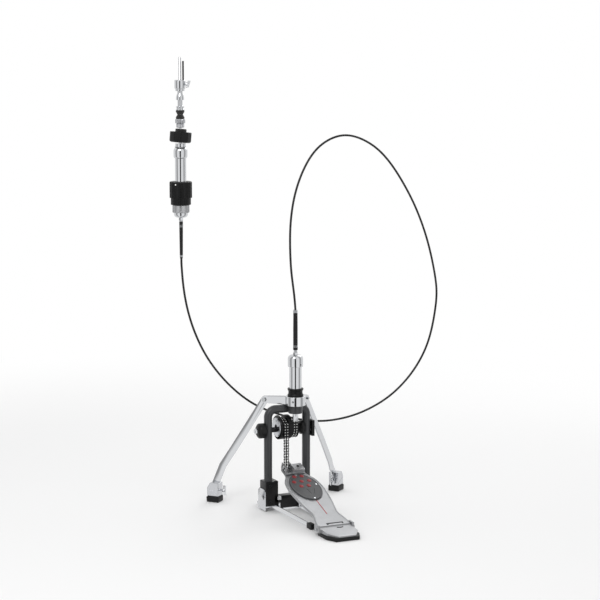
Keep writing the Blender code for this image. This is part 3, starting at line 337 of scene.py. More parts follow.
for sign, turns in ((1, range(0, 25)), (-1, range(24, -1, -1))):
    for i in turns:
        angle = math.radians(BEAD_FROM - (BEAD_FROM - BEAD_TO) * i / 24)
        y = base_axis[1] + HUB_RADIUS * math.sin(angle)
        z = HOOP_HEIGHT + sign * math.sqrt(max(reach ** 2 - y ** 2, 0))
        bead.append((base_axis[0] + HUB_RADIUS * math.cos(angle), y, min(z, hub_high - 1.6)))
ripple = [1.5 + 0.25 * math.sin(i * 2.1) for i in range(len(bead))]
fit("hub_weld_bead", swept(bead, ripple, 14), POWDER, "root")

# The base tube: chrome-plated steel, standing in the hub, with a pressed cap that carries the cable's nipple.
TUBE_BORE = 11.2
SHELF = 5  # the spring's, closing the tube's foot
ROD_HOLE = 3.6
WIRE_BORE = 1.7


def open_tube(name, node, bore, hole, shelf):
    """A chromed tube whose foot is closed by a shelf with a hole in it."""
    low, high = box(node)
    radius, tall = (high.x - low.x) / 2, high.z - low.z
    fit(name, turned([(bore, shelf), (hole, shelf), (hole, 0), (radius, 0), (radius, tall), (bore, tall)],
        upright(node, low.z), steps=96), CHROME, "root", (node,), 0.4)


open_tube("chromed_base_tube", "base_tube", TUBE_BORE, ROD_HOLE, SHELF)
low, high = box("tube_cap")
cap = (high.x - low.x) / 2
fit("pressed_tube_cap", turned([(cap - 2.8, low.z), (cap - 0.6, low.z), (cap, low.z + 0.8), (cap, high.z - 8.5),
    (cap - 0.5, high.z - 5.8), (cap - 2, high.z - 3), (cap - 4.6, high.z - 0.8), (cap - 7.5, high.z),
    (2, high.z), (2, high.z - 3), (cap - 2.8, high.z - 9)], base_axis, steps=96), CHROME, "root", ("tube_cap",),
    0.3)
low, high = box("lower_nipple")


def flats(sides, above=0, share=1):
    """A wave that cuts flats all round what is wider than `above`, by a share of their full depth."""
    def wave(angle, radius, _height):
        half = math.pi / sides
        depth = share * (1 - math.cos(half) / math.cos(angle % (2 * half) - half))
        return -radius * depth if radius > above else 0
    return wave


fit("cable_nipple_nut", turned([(WIRE_BORE, low.z), (5.9, low.z), (5.9, low.z + 5), (WIRE_BORE, low.z + 5)],
    base_axis, steps=72, wave=flats(6)), CHROME, "root", ("lower_nipple",), 0.3)
fit("cable_nipple", turned([(WIRE_BORE, low.z + 4.8), (4.5, low.z + 4.8), (4.1, low.z + 6.6), (4.1, high.z),
    (WIRE_BORE, high.z)], base_axis, steps=48), FERRULE, "root", (), 0.3)


# The waisted lock collar above the legs: moulded glass-filled nylon, clamped to the tube by a socket screw.
# Moulded nylon: soft black, matt, with the even spark texture of its mould.
NYLON = surface("moulded_black_nylon", "black_plastic", ("#060607", "#0C0C0D"), (0.3, 0.46), 1.4, 0.10,
    IOR=1.33)
STEEL = surface("blackened_screw_steel", "black_plastic", ("#141415", "#242426"), (0.25, 0.4), 1.5, 0.05,
    metallic=0.6)
low, high = box("lock_collar")
wide = (high.x - low.x) / 2
waist = wide - 1.9
tall = high.z - low.z
fit("lock_collar_moulding", turned([(COLLAR_BORE, 0), (wide, 0), (wide, 2.6), (wide - 0.6, 4), (waist, 5.8),
    (waist, tall - 5.8), (wide - 0.6, tall - 4), (wide, tall - 2.6), (wide, tall), (COLLAR_BORE, tall)],
    upright("lock_collar", low.z), steps=96), NYLON, "root", ("lock_collar",), 0.5)


def round_screw(at, way, radius, length, socket=0.45):
    """A round-headed socket screw: its head's face `length` out from `at`, with a six-sided socket."""
    key = radius * socket
    return turned([(0, length - 0.9), (key, length - 0.9), (key, length - 0.1), (radius * 0.8, length),
        (radius, length - 0.7), (radius, -0.5), (0, -0.5)], at, way, 36)


def around(axis, bearing, radius, z):
    """A point at a bearing in degrees round an axis, and the way out from it."""
    way = Vector((math.cos(math.radians(bearing)), math.sin(math.radians(bearing)), 0))
    return Vector((axis[0], axis[1], z)) + radius * way, way


at, way = around(base_axis, -72, waist - 0.2, (low.z + high.z) / 2)
fit("lock_collar_screw", round_screw(at, way, 2.6, 1.4), STEEL, "root")
at, way = around(base_axis, -70, cap - 0.2, box("tube_cap")[0].z + 6)
fit("cap_set_screw", round_screw(at, way, 1.9, 0.7), STEEL, "root")


# The leg collar: a chromed steel ring that turns on the base tube, with two forks welded on for the legs.
def faces_of(node, dissolve=1.0):
    """A copy of a solid's own faces in metres, with the flat ones made whole again."""
    bm = bmesh.new()
    bm.from_mesh(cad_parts[node].data)
    bmesh.ops.remove_doubles(bm, verts=bm.verts, dist=0.001 * MM)
    bmesh.ops.dissolve_limit(bm, angle_limit=math.radians(dissolve), verts=bm.verts, edges=bm.edges)
    return bm


def as_made(name, node, material, body, edge, steps=2):
    """Puts a solid's own shape on its body."""
    fit(name, faces_of(node), material, body, (node,), edge, steps, unit=1)


def plate(outline, low, high, place=Matrix()):
    """A flat plate: an outline in X and Y between two heights, moved by `place`."""
    bm = bmesh.new()
    face = bm.faces.new([bm.verts.new((x, y, low)) for x, y in outline])
    grown = bmesh.ops.extrude_face_region(bm, geom=[face])
    top = [item for item in grown["geom"] if isinstance(item, bmesh.types.BMVert)]
    bmesh.ops.translate(bm, verts=top, vec=(0, 0, high - low))
    bmesh.ops.recalc_face_normals(bm, faces=bm.faces)
    bm.transform(place)
    return bm


def leg_place(bearing):
    """A leg's own axes: X out from the tube, Y up, Z across the leg."""
    out = Vector((math.cos(math.radians(bearing)), math.sin(math.radians(bearing)), 0))
    side = out.cross(Vector((0, 0, 1)))
    place = Matrix((out, Vector((0, 0, 1)), side)).transposed().to_4x4()
    place.translation = base_axis
    return place


LEGS = {  # bearing round the tube, the pivot's place (out from the tube, up), how far out the foot stands
    "left": (131.5, (77.2, 255.5), 208),
    "right": (38.3, (51.9, 255.5), 217),
}
LEG_THICKNESS = 4
FORK_WALL = 3
low, high = box("leg_collar")
COLLAR_RADIUS = 23
EYE_RADIUS = 8.2  # of the forks, round their bolts
forks = []
for bearing, pivot, _foot in LEGS.values():
    root = COLLAR_RADIUS - 4
    arm = [(root, low.z + 0.4), *arc(pivot, EYE_RADIUS, -70, 90, 20), (root, high.z - 2)]
    inside = LEG_THICKNESS / 2 + 0.4
    for start in (-inside - FORK_WALL, inside):
        forks.append(plate(arm, start, start + FORK_WALL, leg_place(bearing)))
fit("leg_collar_forks", joined(*forks), CHROME, "leg_collar", (), 0.6)
fit("leg_collar_ring", turned([(COLLAR_BORE + 0.1, low.z), (COLLAR_RADIUS, low.z), (COLLAR_RADIUS, high.z),
    (COLLAR_BORE + 0.1, high.z)], base_axis, steps=120), CHROME, "leg_collar", ("leg_collar",), 0.9, 3)
at, way = around(base_axis, -130, COLLAR_RADIUS - 0.2, (low.z + high.z) / 2)
fit("leg_collar_screw", round_screw(at, way, 2.4, 0.8), STEEL, "leg_collar")

# The legs: flat steel bars, cranked, chromed, each on a bolt in its fork and clamped in a die-cast foot
# bracket. Die-cast zinc under chrome: the same mirror over a slightly wavy casting skin.
CAST_CHROME = surface("chromed_die_casting", "chrome", ("#D2D3D6", "#C2C4C8"), (0.12, 0.22), 7, 0.10,
    metallic=1.0)
SOLE = surface("moulded_sole_rubber", "rubber", ("#080809", "#101011"), (0.5, 0.7), 1.6, 0.12, IOR=1.42)
CLAMP_HALF_LENGTH = 14.5
CLAMP_HALF_WIDTH = 12.5
BOLT_RADIUS = 3
BOLT_HEAD = 5.5
for side, (bearing, pivot, foot) in LEGS.items():
    as_made(f"{side}_flat_leg", f"{side}_leg", CHROME, f"{side}_leg", 0.7)
    place = leg_place(bearing)
    across = place.to_3x3() @ Vector((0, 0, 1))
    pivot = place @ Vector((*pivot, 0))
    face = LEG_THICKNESS / 2 + 0.7 + FORK_WALL
    bolt = turned([(0, -face - 3), (BOLT_HEAD, -face - 3), (BOLT_HEAD, -face), (BOLT_RADIUS, -face),
        (BOLT_RADIUS, face + 3), (0, face + 3)], pivot, across, 48, wave=flats(6, 4))
    fit(f"{side}_leg_pivot_bolt", bolt, FERRULE, "leg_collar", (f"{side}_leg_bolt",), 0.3)
    low, high = box(f"{side}_foot_bracket")
    inner, outer = foot - CLAMP_HALF_LENGTH, foot + CLAMP_HALF_LENGTH
    shape = [(inner, low.z), (outer, low.z), (outer, high.z - 12), (outer - 7, high.z), (inner, high.z)]
    fit(f"{side}_foot_clamp", plate(shape, -CLAMP_HALF_WIDTH, CLAMP_HALF_WIDTH, place), CAST_CHROME,
        f"{side}_leg", (f"{side}_foot_bracket",), 1.4, 4)
    rim = [(inner + 4, low.z + 3), (outer - 4, low.z + 3), (outer - 4, high.z - 15), (inner + 4, low.z + 7)]
    for name, middle_at in (("near", -CLAMP_HALF_WIDTH - 0.15), ("far", CLAMP_HALF_WIDTH + 0.15)):
        fit(f"{side}_clamp_panel_{name}", plate(rim, middle_at - 0.25, middle_at + 0.25, place), CAST_CHROME,
            f"{side}_leg", (), 0.2)
    as_made(f"{side}_clamp_wing_screw", f"{side}_foot_screw", CHROME, f"{side}_foot_screw", 0.4)
    as_made(f"{side}_rubber_shoe", f"{side}_rubber_foot", SOLE, f"{side}_leg", 0.6)

# The front of the base: black cast sockets that clamp the hoop's feet, a crossbar between them, a chromed floor
# plate, and the two carpet spurs, steel pins with knurled heads, in the crossbar's lugs.
# Sand-textured black castings: hard black enamel over a coarse cast skin.
ENAMEL = surface("black_enamelled_casting", "black_plastic", ("#060607", "#0C0C0D"), (0.26, 0.4), 2.2, 0.12,
    IOR=1.33, Coat_Weight=0.08, Coat_Roughness=0.2)


def toothed(count, depth, above, lag=0.0):
    """A wave of teeth round what is wider than `above`."""
    def wave(angle, radius, _height):
        return depth * math.cos(count * angle - lag) if radius > above else 0
    return wave


for side, sign in (("left", -1), ("right", 1)):
    as_made(f"{side}_cast_socket", f"{side}_socket", ENAMEL, "root", 1.2, 3)
    as_made(f"{side}_side_casting", f"{side}_casting", CAST_CHROME, "root", 0.8)
    as_made(f"{side}_bar", f"{side}_side_bar", CHROME, "root", 0.5)
    low, high = box(f"{side}_spur")
    axis = upright(f"{side}_spur")

    knob = high.z - 8
    fit(f"{side}_spur_pin", turned([(0, low.z), (2.2, low.z + 6.5), (2.2, knob), (4.3, knob), (4.3, knob + 6.5),
        (3, high.z), (0, high.z)], axis, steps=96, wave=toothed(24, 0.25, 4, math.pi / 2)), CHROME,
        f"{side}_spur", (f"{side}_spur",), 0.2)
    low, high = box(f"{side}_socket")
    for z in (low.z + 10, high.z - 9):
        at = Vector((sign * 48.7, low.y, z))
        fit(f"{side}_socket_screw_{round(z)}", round_screw(at, (0, -1, 0), 3.2, 1.2), STEEL, "root")
as_made("front_crossbar", "crossbar", ENAMEL, "root", 1.0, 3)
as_made("front_floor_plate", "floor_plate", CHROME, "root", 0.4)

# The axle and its bearings: a blackened steel axle across the hoop, in two black bearing housings bolted to the
# uprights, with a chromed nut on its left end.
low, high = box("axle")
axle_at = Vector((0, 0, (low.z + high.z) / 2))
ALONG_X = (1, 0, 0)
AXLE_RADIUS = 6
AXLE_BORE = 6.4
NUT_LENGTH = 6
fit("axle_shaft", turned([(0, low.x + NUT_LENGTH), (AXLE_RADIUS, low.x + NUT_LENGTH), (AXLE_RADIUS, high.x),
    (0, high.x)], axle_at, ALONG_X, 48), STEEL, "axle", ("axle",), 0.4)
fit("axle_nut", turned([(0, low.x), (4, low.x), (7, low.x + 1.3), (7, low.x + NUT_LENGTH),
    (0, low.x + NUT_LENGTH)], axle_at, ALONG_X, 72, wave=flats(6, 6)), CHROME, "axle", (), 0.3)
low, high = box("left_bearing")
fit("left_bearing_housing", turned([(AXLE_BORE, low.x), (11, low.x), (12.5, low.x + 1), (17, low.x + 4.6),
    (17.5, low.x + 6), (17.5, high.x), (AXLE_BORE, high.x)], axle_at, ALONG_X, 96), ENAMEL, "root",
    ("left_bearing",), 0.6)
low, high = box("right_bearing")
fit("right_bearing_housing", turned([(AXLE_BORE, low.x), (9.5, low.x), (11, low.x + 4), (16, high.x - 6),
    (16, high.x), (AXLE_BORE, high.x)], axle_at, ALONG_X, 96), ENAMEL, "root", ("right_bearing",), 0.6)
as_made("right_bearing_clamp", "bearing_clamp", ENAMEL, "root", 1.0, 3)

# The cam and sprocket: black nylon wheels on the axle, the cam faced with a chromed plate. The double chain
# wraps the cam and hangs to the toe; a second chain wraps the sprocket and pulls the rod in the base tube.
low, high = box("cam")
cam_left = low.x + 3.4
CAM_THROW = 5  # of the flanges' centre above the axle
FLANGE_RADIUS = 27.5
DRUM_RADIUS = 23.3
CAM_RADIUS = 26  # of the chain's middle line
FACE_RADIUS = 22.4
groove_left, groove_right = -21.3, -6.7
raised = axle_at + Vector((0, 0, CAM_THROW))
fit("cam_drum", turned([(AXLE_BORE, cam_left), (DRUM_RADIUS, cam_left), (DRUM_RADIUS, high.x - 0.2),
    (AXLE_BORE, high.x - 0.2)], axle_at, ALONG_X, 96), NYLON, "axle", ("cam",), 0.3)
for name, start, end in (("left", cam_left, groove_left), ("right", groove_right, high.x)):
    fit(f"cam_{name}_flange", turned([(14, start), (FLANGE_RADIUS, start), (FLANGE_RADIUS, end), (14, end)],
        raised, ALONG_X, 208, wave=toothed(26, 0.5, 27)), NYLON, "axle", (), 0.3)
fit("cam_side_plate", turned([(7, low.x), (21, low.x), (FACE_RADIUS, low.x + 1.2), (FACE_RADIUS, cam_left),
    (7, cam_left)], raised, ALONG_X, 96), CAST_CHROME, "axle", (), 0.4)
for turn in range(3):
    angle = math.radians(90 + 120 * turn)
    spot = raised + Vector((low.x + 0.1, 15 * math.cos(angle), 15 * math.sin(angle)))
    fit(f"cam_plate_screw_{turn}", round_screw(spot, (-1, 0, 0), 2.6, 0.7), FERRULE, "axle")
low, high = box("sprocket")
SPROCKET_WALL = 1.9
SPROCKET_FLANGE = 21.6
SPROCKET_FLOOR = 16.9
SPROCKET_RADIUS = 19.4  # of the chain's middle line
fit("sprocket_wheel", turned([(AXLE_BORE, low.x), (SPROCKET_FLANGE, low.x),
    (SPROCKET_FLANGE, low.x + SPROCKET_WALL), (SPROCKET_FLOOR, low.x + SPROCKET_WALL),
    (SPROCKET_FLOOR, high.x - SPROCKET_WALL), (SPROCKET_FLANGE, high.x - SPROCKET_WALL),
    (SPROCKET_FLANGE, high.x), (AXLE_BORE, high.x)], axle_at, ALONG_X, 176, wave=toothed(22, 0.4, 20)), NYLON,
    "axle", ("sprocket",), 0.25)

# The chains: roller chain of a quarter-inch pitch, its side plates blackened and its rollers bright.
PITCH = 6.35
STRANDS = (-3.1, 3.1)
PLATE = 0.75
ROLLER_HALF = 1.45  # of a roller's width
ROLLER_RADIUS = 1.7
LINK_END = 2.2
LINK_WAIST = 1.35
# Turns an outline's X and Y into Y and Z.
UPRIGHT = Matrix(((0, 0, 1, 0), (1, 0, 0, 0), (0, 1, 0, 0), (0, 0, 0, 1)))
# Heat-blued link plates: dark, with a thin oil gloss.
LINK = surface("blued_link_plate", "chain_steel", ("#17171A", "#222226"), (0.25, 0.4), 1.5, 0.03, metallic=0.7)
# Ground rollers: plain bright steel, polished by running in the wheel.
ROLLER = surface("ground_steel_roller", "chain_steel", ("#D6D6D4", "#BDBDBB"), (0.14, 0.25), 2, 0.02,
    metallic=1.0)


def chain(name, body, path, at_x, stands_for=()):
    """Links and rollers along a path of (y, z) points, a pitch apart, in two strands."""
    plates, rollers = [], []
    for i, (here, there) in enumerate(zip(path, path[1:])):
        here, there = Vector(here), Vector(there)
        way = there - here
        turn = math.degrees(math.atan2(way.y, way.x))
        outline = [*arc(here, LINK_END, turn + 90, turn + 270, 8),
            *arc(there, LINK_END, turn - 90, turn + 90, 8)]
        middle_point = (here + there) / 2
        normal = Vector((-way.y, way.x)).normalized() * LINK_WAIST
        outline = [*outline[:9], tuple(middle_point - normal), *outline[9:], tuple(middle_point + normal)]
        out = ROLLER_HALF + (PLATE if i % 2 else 0)
        for strand in STRANDS:
            for sign in (-1, 1):
                inner, outer = sorted((sign * out, sign * (out + PLATE)))
                plates.append(plate(outline, at_x + strand + inner, at_x + strand + outer, UPRIGHT))
    for spot in path:
        for strand in STRANDS:
            rollers.append(turned([(0, -ROLLER_HALF), (ROLLER_RADIUS, -ROLLER_HALF),
                (ROLLER_RADIUS, ROLLER_HALF), (0, ROLLER_HALF)], (at_x + strand, *spot), ALONG_X, 16))
        end = max(STRANDS) + ROLLER_HALF + 2 * PLATE + 0.4
        plates.append(turned([(0, -end), (1, -end), (1, end), (0, end)], (at_x, *spot), ALONG_X, 10))
    fit(f"{name}_links", joined(*plates), LINK, body, stands_for)
    fit(f"{name}_rollers", joined(*rollers), ROLLER, body)


chain_x = middle("drive_chain").x
low, high = box("drive_chain")
chain_y = (low.y + high.y) / 2
pin_z = low.z + 3
straight = [(chain_y, pin_z + PITCH * i) for i in range(1, 17)]
chain("drive_chain", "drive_chain", straight, chain_x, ("drive_chain",))


def wrapped(radius, start, end):
    """Points a pitch apart on a wheel, from `start` degrees up from its front round to `end`."""
    spots = []
    angle = start
    pitch_turn = 2 * math.degrees(math.asin(PITCH / 2 / radius))
    while angle <= end:
        turn = math.radians(180 - angle)
        spots.append((axle_at.y + radius * math.cos(turn), axle_at.z + radius * math.sin(turn)))
        angle += pitch_turn
    return spots


chain("cam_chain", "axle", wrapped(CAM_RADIUS, 24, 200), chain_x)
fit("toe_chain_pin", turned([(0, low.x - 0.2), (1.9, low.x - 0.2), (1.9, high.x + 0.2), (0, high.x + 0.2)],
    (0, chain_y, pin_z), ALONG_X, 32), FERRULE, "drive_chain", (), 0.3)
outline = [*arc((chain_y, pin_z), 2.9, 180, 360, 12), *arc((chain_y, pin_z + PITCH), 2.1, 0, 180, 12)]
cheeks = [plate(outline, chain_x + x, chain_x + x + 1, UPRIGHT) for x in (-5.9, -0.5, 4.9)]
fit("toe_chain_shackle", joined(*cheeks), LINK, "drive_chain")
low, high = box("pull_chain")
pull_y = (low.y + high.y) / 2
pull_x = (low.x + high.x) / 2
chain("pull_chain", "lower_rod", [(pull_y, high.z - 1 - PITCH * i) for i in range(4)], pull_x, ("pull_chain",))
chain("sprocket_chain", "axle", wrapped(SPROCKET_RADIUS, -150, -4), pull_x)

# The pull rod of the base: a steel yoke on the chain, a rod up through the hub, and a spring washer on it.
as_made("chain_yoke_and_rod", "pull_rod", CHROME, "lower_rod", 0.4)
# Spring wire: music wire, oil tempered, dark with bright edges.
SPRING = surface("oil_tempered_wire", "chain_steel", ("#6A6B6C", "#4C4D4F"), (0.2, 0.35), 1.5, 0.03,
    metallic=1.0)
# Each spring stands on its tube's shelf and is pressed down by the washer on its rod.
for node, joint, axis in (("return_spring", "lower_rod_pull", base_axis),
                          ("head_spring", "upper_rod_pull", head_axis)):
    low, high = box(node)
    coil = fit(f"{node}_coil", faces_of(node, 0.01), SPRING, "root", (node,), unit=1)
    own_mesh(coil)

# The footboard: one aluminium casting, tumbled and clear-coated, with a raised rim, an oval of rubber set in
# it, and an inlaid red line toward the heel. Its hinge barrel turns on the heel's pin.
hinge = middle("hinge_pin")
SLOPE = math.radians(19)
board_place = Matrix.Translation(hinge) @ Matrix.Rotation(SLOPE, 4, "X")
# Tumbled cast aluminium: pale grey metal, frosted by the blasting, with a fine cast grain and a clear lacquer.
ALUMINIUM = surface("tumbled_cast_aluminium", "cast_aluminium", ("#B0B1B3", "#A1A2A4"), (0.42, 0.55), 1.6, 0.08,
    stain=18, metallic=1.0, Coat_Weight=0.12, Coat_Roughness=0.35)


def carved(bm, *cutters):
    """A shape with others cut out of it."""
    things = []
    for number, shape in enumerate((bm, *cutters)):
        mesh = bpy.data.meshes.new(f"carving_{number}")
        shape.to_mesh(mesh)
        shape.free()
        thing = bpy.data.objects.new(f"carving_{number}", mesh)
        bpy.context.collection.objects.link(thing)
        things.append(thing)
    for cutter in things[1:]:
        change = things[0].modifiers.new("cut", "BOOLEAN")
        change.operation = "DIFFERENCE"
        change.object = cutter
    result = bmesh.new()
    result.from_mesh(things[0].evaluated_get(bpy.context.evaluated_depsgraph_get()).to_mesh())
    for thing in things:
        bpy.data.objects.remove(thing, do_unlink=True)
    return result


def block(low, high, place=Matrix()):
    """A box between two corners, moved by `place`."""
    bm = bmesh.new()
    bmesh.ops.create_cube(bm, size=1.0)
    size = [b - a for a, b in zip(low, high)]
    centre = [(a + b) / 2 for a, b in zip(low, high)]
    bm.transform(place @ Matrix.Translation(centre) @ Matrix.Diagonal((*size, 1)))
    return bm


BOARD_HALF = [(38.6, 0.3), (38.6, 16), (34.5, 33), (30.5, 50), (33.5, 70), (37.5, 92), (40.5, 116), (43, 146),
              (42, 172), (37, 196), (27, 215), (24, 228), (24, 247.7)]


def smooth_half(points, step):
    """The half outline rounded through its own points, with its straight ends kept."""
    line = smooth_line([(x, y, 0) for x, y in points[1:-1]], step)
    return [(points[0][0], points[0][1]), *[(p.x, p.y) for p in line], (points[-1][0], points[-1][1])]


half_line = smooth_half(BOARD_HALF, 3)
outline = [*half_line, *[(-x, y) for x, y in reversed(half_line)]]


def drawn_in(points, inset):
    """The outline moved inward by `inset`."""
    moved = []
    count = len(points)
    for i, point in enumerate(points):
        before, after = Vector(points[i - 1]), Vector(points[(i + 1) % count])
        here = Vector(point)
        first = (here - before).normalized()
        second = (after - here).normalized()
        normal = Vector((-(first + second).y, (first + second).x)).normalized()
        lean = max(normal.dot(Vector((-first.y, first.x))), 0.4)
        moved.append(tuple(here + normal * inset / lean))
    return moved


def dished(points, steps, place):
    """A solid between rings: each step is how far the outline is drawn in, and its height."""
    bm = bmesh.new()
    loops = []
    for inset, height in steps:
        loops.append([bm.verts.new((x, y, height)) for x, y in drawn_in(points, inset)])
    for low, high in zip(loops, loops[1:]):
        for i in range(len(low)):
            j = (i + 1) % len(low)
            bm.faces.new((low[i], low[j], high[j], high[i]))
    bm.faces.new(loops[0])
    bm.faces.new(loops[-1])
    bmesh.ops.recalc_face_normals(bm, faces=bm.faces)
    bm.transform(place)
    return bm


board = dished(outline, ((3.2, 0.0), (0.5, 0.0), (0.0, 0.6), (0.0, 5.2), (0.3, 5.8), (0.9, 6.0), (1.7, 6.0),
    (2.2, 5.7), (2.8, 5.0), (4.0, 4.9)), board_place)
slot = [block((-16.5, 8.3, 1), (24.7, 12.5, 10), board_place)]
slot += [block((x, 5, 1.01), (x + 4.1, 10.5, 10), board_place) for x in (-16.45, 20.55)]
fit("cast_footboard", carved(board, *slot), ALUMINIUM, "footboard", ("footboard",))
fit("footboard_barrel", turned([(2.9, -38.2), (4.6, -38.2), (4.6, 38.2), (2.9, 38.2)], hinge, ALONG_X, 48),
    ALUMINIUM, "footboard", (), 0.4)
# Black blocks fill the slot's floor to just under the board's face: painted shade inside the slot.
slot_painted_shade = [block((-16.4, 8.4, 0.9), (24.6, 12.4, 4.5), board_place)]
slot_painted_shade += [block((x, 5.1, 0.9), (x + 3.9, 8.6, 4.4), board_place) for x in (-16.35, 20.65)]
fit("board_slot_painted_shade", joined(*slot_painted_shade), NYLON, "footboard")
# Red enamel: a thin glossy inlay.
RED = surface("red_enamel_inlay", "rubber", ("#9C0B1B", "#8E0917"), (0.25, 0.35), 1.5, 0.03, IOR=1.5)
fit("red_inlay_line", plate([(1.3, 48), (3.7, 48), (3.7, 106), (1.3, 106)], 4.6, 5.15, board_place), RED,
    "footboard", (), 0.15)

# The traction pad: a moulded oval of dark rubber with raised red studs under the ball of the foot, three pale
# rivet heads that pin it, and two fine grooves, drawn as thin black strips: painted shade of grooves.
PAD = surface("moulded_traction_rubber", "rubber", ("#47484A", "#3C3D3F"), (0.45, 0.6), 1.8, 0.15, IOR=1.52)
STUD = surface("red_rubber_stud", "rubber", ("#8F1019", "#7B0D15"), (0.4, 0.55), 1.4, 0.08, IOR=1.52)


def oval(centre, radii, count):
    """Points round an oval."""
    return [(centre[0] + radii[0] * math.cos(2 * math.pi * i / count),
        centre[1] + radii[1] * math.sin(2 * math.pi * i / count)) for i in range(count)]


PAD_CENTRE = (0.8, 162)
pad = dished(oval(PAD_CENTRE, (34.5, 54.5), 120), ((0, 4.6), (0, 7.0), (0.4, 7.6), (1.2, 7.9), (2.0, 7.9),
    (2.6, 7.6), (4.5, 7.6)), board_place)
fit("traction_pad_oval", pad, PAD, "footboard", ("traction_pad",))
studs = []
for x, s in ((-9.3, 206), (9.3, 206), (-19, 185), (0, 185), (19, 185), (-9.3, 165), (9.3, 165)):
    studs.append(dished(oval((x, s), (5.0, 6.0), 36), ((0, 7.2), (0, 7.9), (0.5, 8.3), (1.6, 8.5)),
        board_place))
fit("traction_pad_studs", joined(*studs), STUD, "footboard")
rivets = []
for x, s in ((28, 166.5), (-3, 213), (0, 112)):
    rivets.append(dished(oval((x, s), (2.8, 3.2), 28), ((0, 7.2), (0, 7.9), (0.6, 8.2), (1.2, 8.3)),
        board_place))
fit("traction_pad_rivets", joined(*rivets), FERRULE, "footboard")
# The grooves are thin black strips standing a little out of the grey pad: painted shade of grooves, not cut
# recesses.
fine = []
for start, end in (((-1, 154), (1, 131)), ((17, 150), (8, 130))):
    a, b = Vector(start), Vector(end)
    side = Vector((-(b - a).y, (b - a).x)).normalized() * 0.45
    fine.append(plate([tuple(a - side), tuple(b - side), tuple(b + side), tuple(a + side)], 7.2, 7.8,
        board_place))
fit("traction_pad_groove_shade", joined(*fine), SLEEVE_RUBBER, "footboard")

# The toe bracket: cast with two slotted cheeks that the chain's pin rides in, screwed down beside the toe.
as_made("cast_toe_bracket", "toe_bracket", ALUMINIUM, "footboard", 0.5)
spot = board_place @ Vector((12, 237, 15.6))
board_up = board_place.to_3x3() @ Vector((0, 0, 1))
fit("toe_bracket_screw", round_screw(spot, board_up, 3.6, 1.2), STEEL, "footboard")

# The heel: a cast plate on a black rubber-soled base, with ears that hold the board's hinge pin.
as_made("rubber_soled_base", "heel_base", SOLE, "root", 0.8)
as_made("cast_heel_plate", "heel_plate", ALUMINIUM, "root", 1.4, 4)
# A black bar laid along the heel plate's face, a little proud of it: painted shade of a groove in the plate.
curve = []
for i in range(13):
    angle = math.radians(200 + 140 * i / 12)
    x, y = (7.5 + 7.5 * math.cos(angle)), (-262 + 4 * math.sin(angle))
    curve.append((x, y, 18 - (-257.8 - y) * 5.7 / 46.9 - 0.35))
fit("heel_groove_painted_shade", swept(curve, 1.5, 14), NYLON, "root")
low, high = box("hinge_pin")
fit("heel_hinge_pin", turned([(0, low.x), (2.5, low.x), (2.5, high.x), (0, high.x)], (0, hinge.y, hinge.z),
    ALONG_X, 40), FERRULE, "root", ("hinge_pin",), 0.5)

# The head's lower end: a steel nipple and dome, a knurled aluminium ring, and the ribbed nylon tension sleeve.
KNURL = surface("knurled_aluminium", "knurled_steel", ("#C6C7C9", "#AFB0B2"), (0.3, 0.45), 1.5, 0.05,
    metallic=1.0)
HEAD_ROD_BORE = 3.7
HEAD_RADIUS = 12.7  # of the head tube, 25.4 across
SLIP_BORE = 13.1  # of what turns on the tube
low, high = box("head_dome")
dome_low = low.z + 9.3
fit("head_nipple_nut", turned([(WIRE_BORE, low.z + 3), (5.2, low.z + 3), (5.2, dome_low),
    (WIRE_BORE, dome_low)], head_axis, steps=72, wave=flats(6)), CHROME, "root", ("head_dome",), 0.3)
fit("head_nipple", turned([(WIRE_BORE, low.z), (4, low.z), (4.6, low.z + 3.2), (WIRE_BORE, low.z + 3.2)],
    head_axis, steps=48), FERRULE, "root", (), 0.2)
DOME = 15.95
BEND = 8  # of the dome's lower edge
turns = [math.pi / 2 * i / 12 for i in range(13)]
dome = [(DOME - BEND + BEND * math.sin(t), dome_low + BEND * (1 - math.cos(t))) for t in turns]
fit("head_dome_cup", turned([(HEAD_ROD_BORE, dome_low), *dome, (DOME, dome_low + 11.2),
    (HEAD_RADIUS, dome_low + 11.2), (HEAD_RADIUS, high.z), (HEAD_ROD_BORE, high.z)], head_axis, steps=96),
    CHROME, "root", (), 0.2)
low, high = box("tuning_ring")


def crossed(angle, radius, height):
    """A diamond knurl: two crossing sets of fine ridges."""
    if radius < 18:
        return 0
    rise = (height - ring_low) / 1.6 * math.pi
    return -0.25 * (abs(math.sin(30 * angle + rise)) + abs(math.sin(30 * angle - rise)))


ring_low = low.z
ring_radius = (high.x - low.x) / 2
rows = [(ring_radius, low.z + 0.8 + (high.z - low.z - 1.6) * i / 20) for i in range(21)]
fit("knurled_tuning_ring", turned([(SLIP_BORE, low.z), (ring_radius - 1, low.z), *rows,
    (ring_radius - 1, high.z), (SLIP_BORE, high.z)], head_axis, steps=240, wave=crossed), KNURL, "tuning_ring",
    ("tuning_ring",))
low, high = box("tension_sleeve")
sleeve_radius = (high.x - low.x) / 2
step_z = low.z + 15.5


def ribbed(angle, radius, height):
    """Grip ribs up the sleeve, and finer ones on its lower band."""
    if radius < 20:
        return 0
    if height < step_z + 0.2:
        return -0.35 * abs(math.sin(20 * angle)) ** 0.5
    return -1.1 * max(0.0, math.cos(18 * angle)) ** 0.6


fit("ribbed_tension_sleeve", turned([(SLIP_BORE, low.z), (sleeve_radius - 3.2, low.z),
    (sleeve_radius - 2.5, low.z + 0.8), (sleeve_radius - 2.5, step_z), (sleeve_radius - 0.2, step_z + 0.3),
    (sleeve_radius, step_z + 1), (sleeve_radius, high.z - 2), (sleeve_radius - 0.5, high.z - 0.8),
    (sleeve_radius - 1.5, high.z), (SLIP_BORE, high.z)], head_axis, steps=288, wave=ribbed), NYLON,
    "tension_sleeve", ("tension_sleeve",))
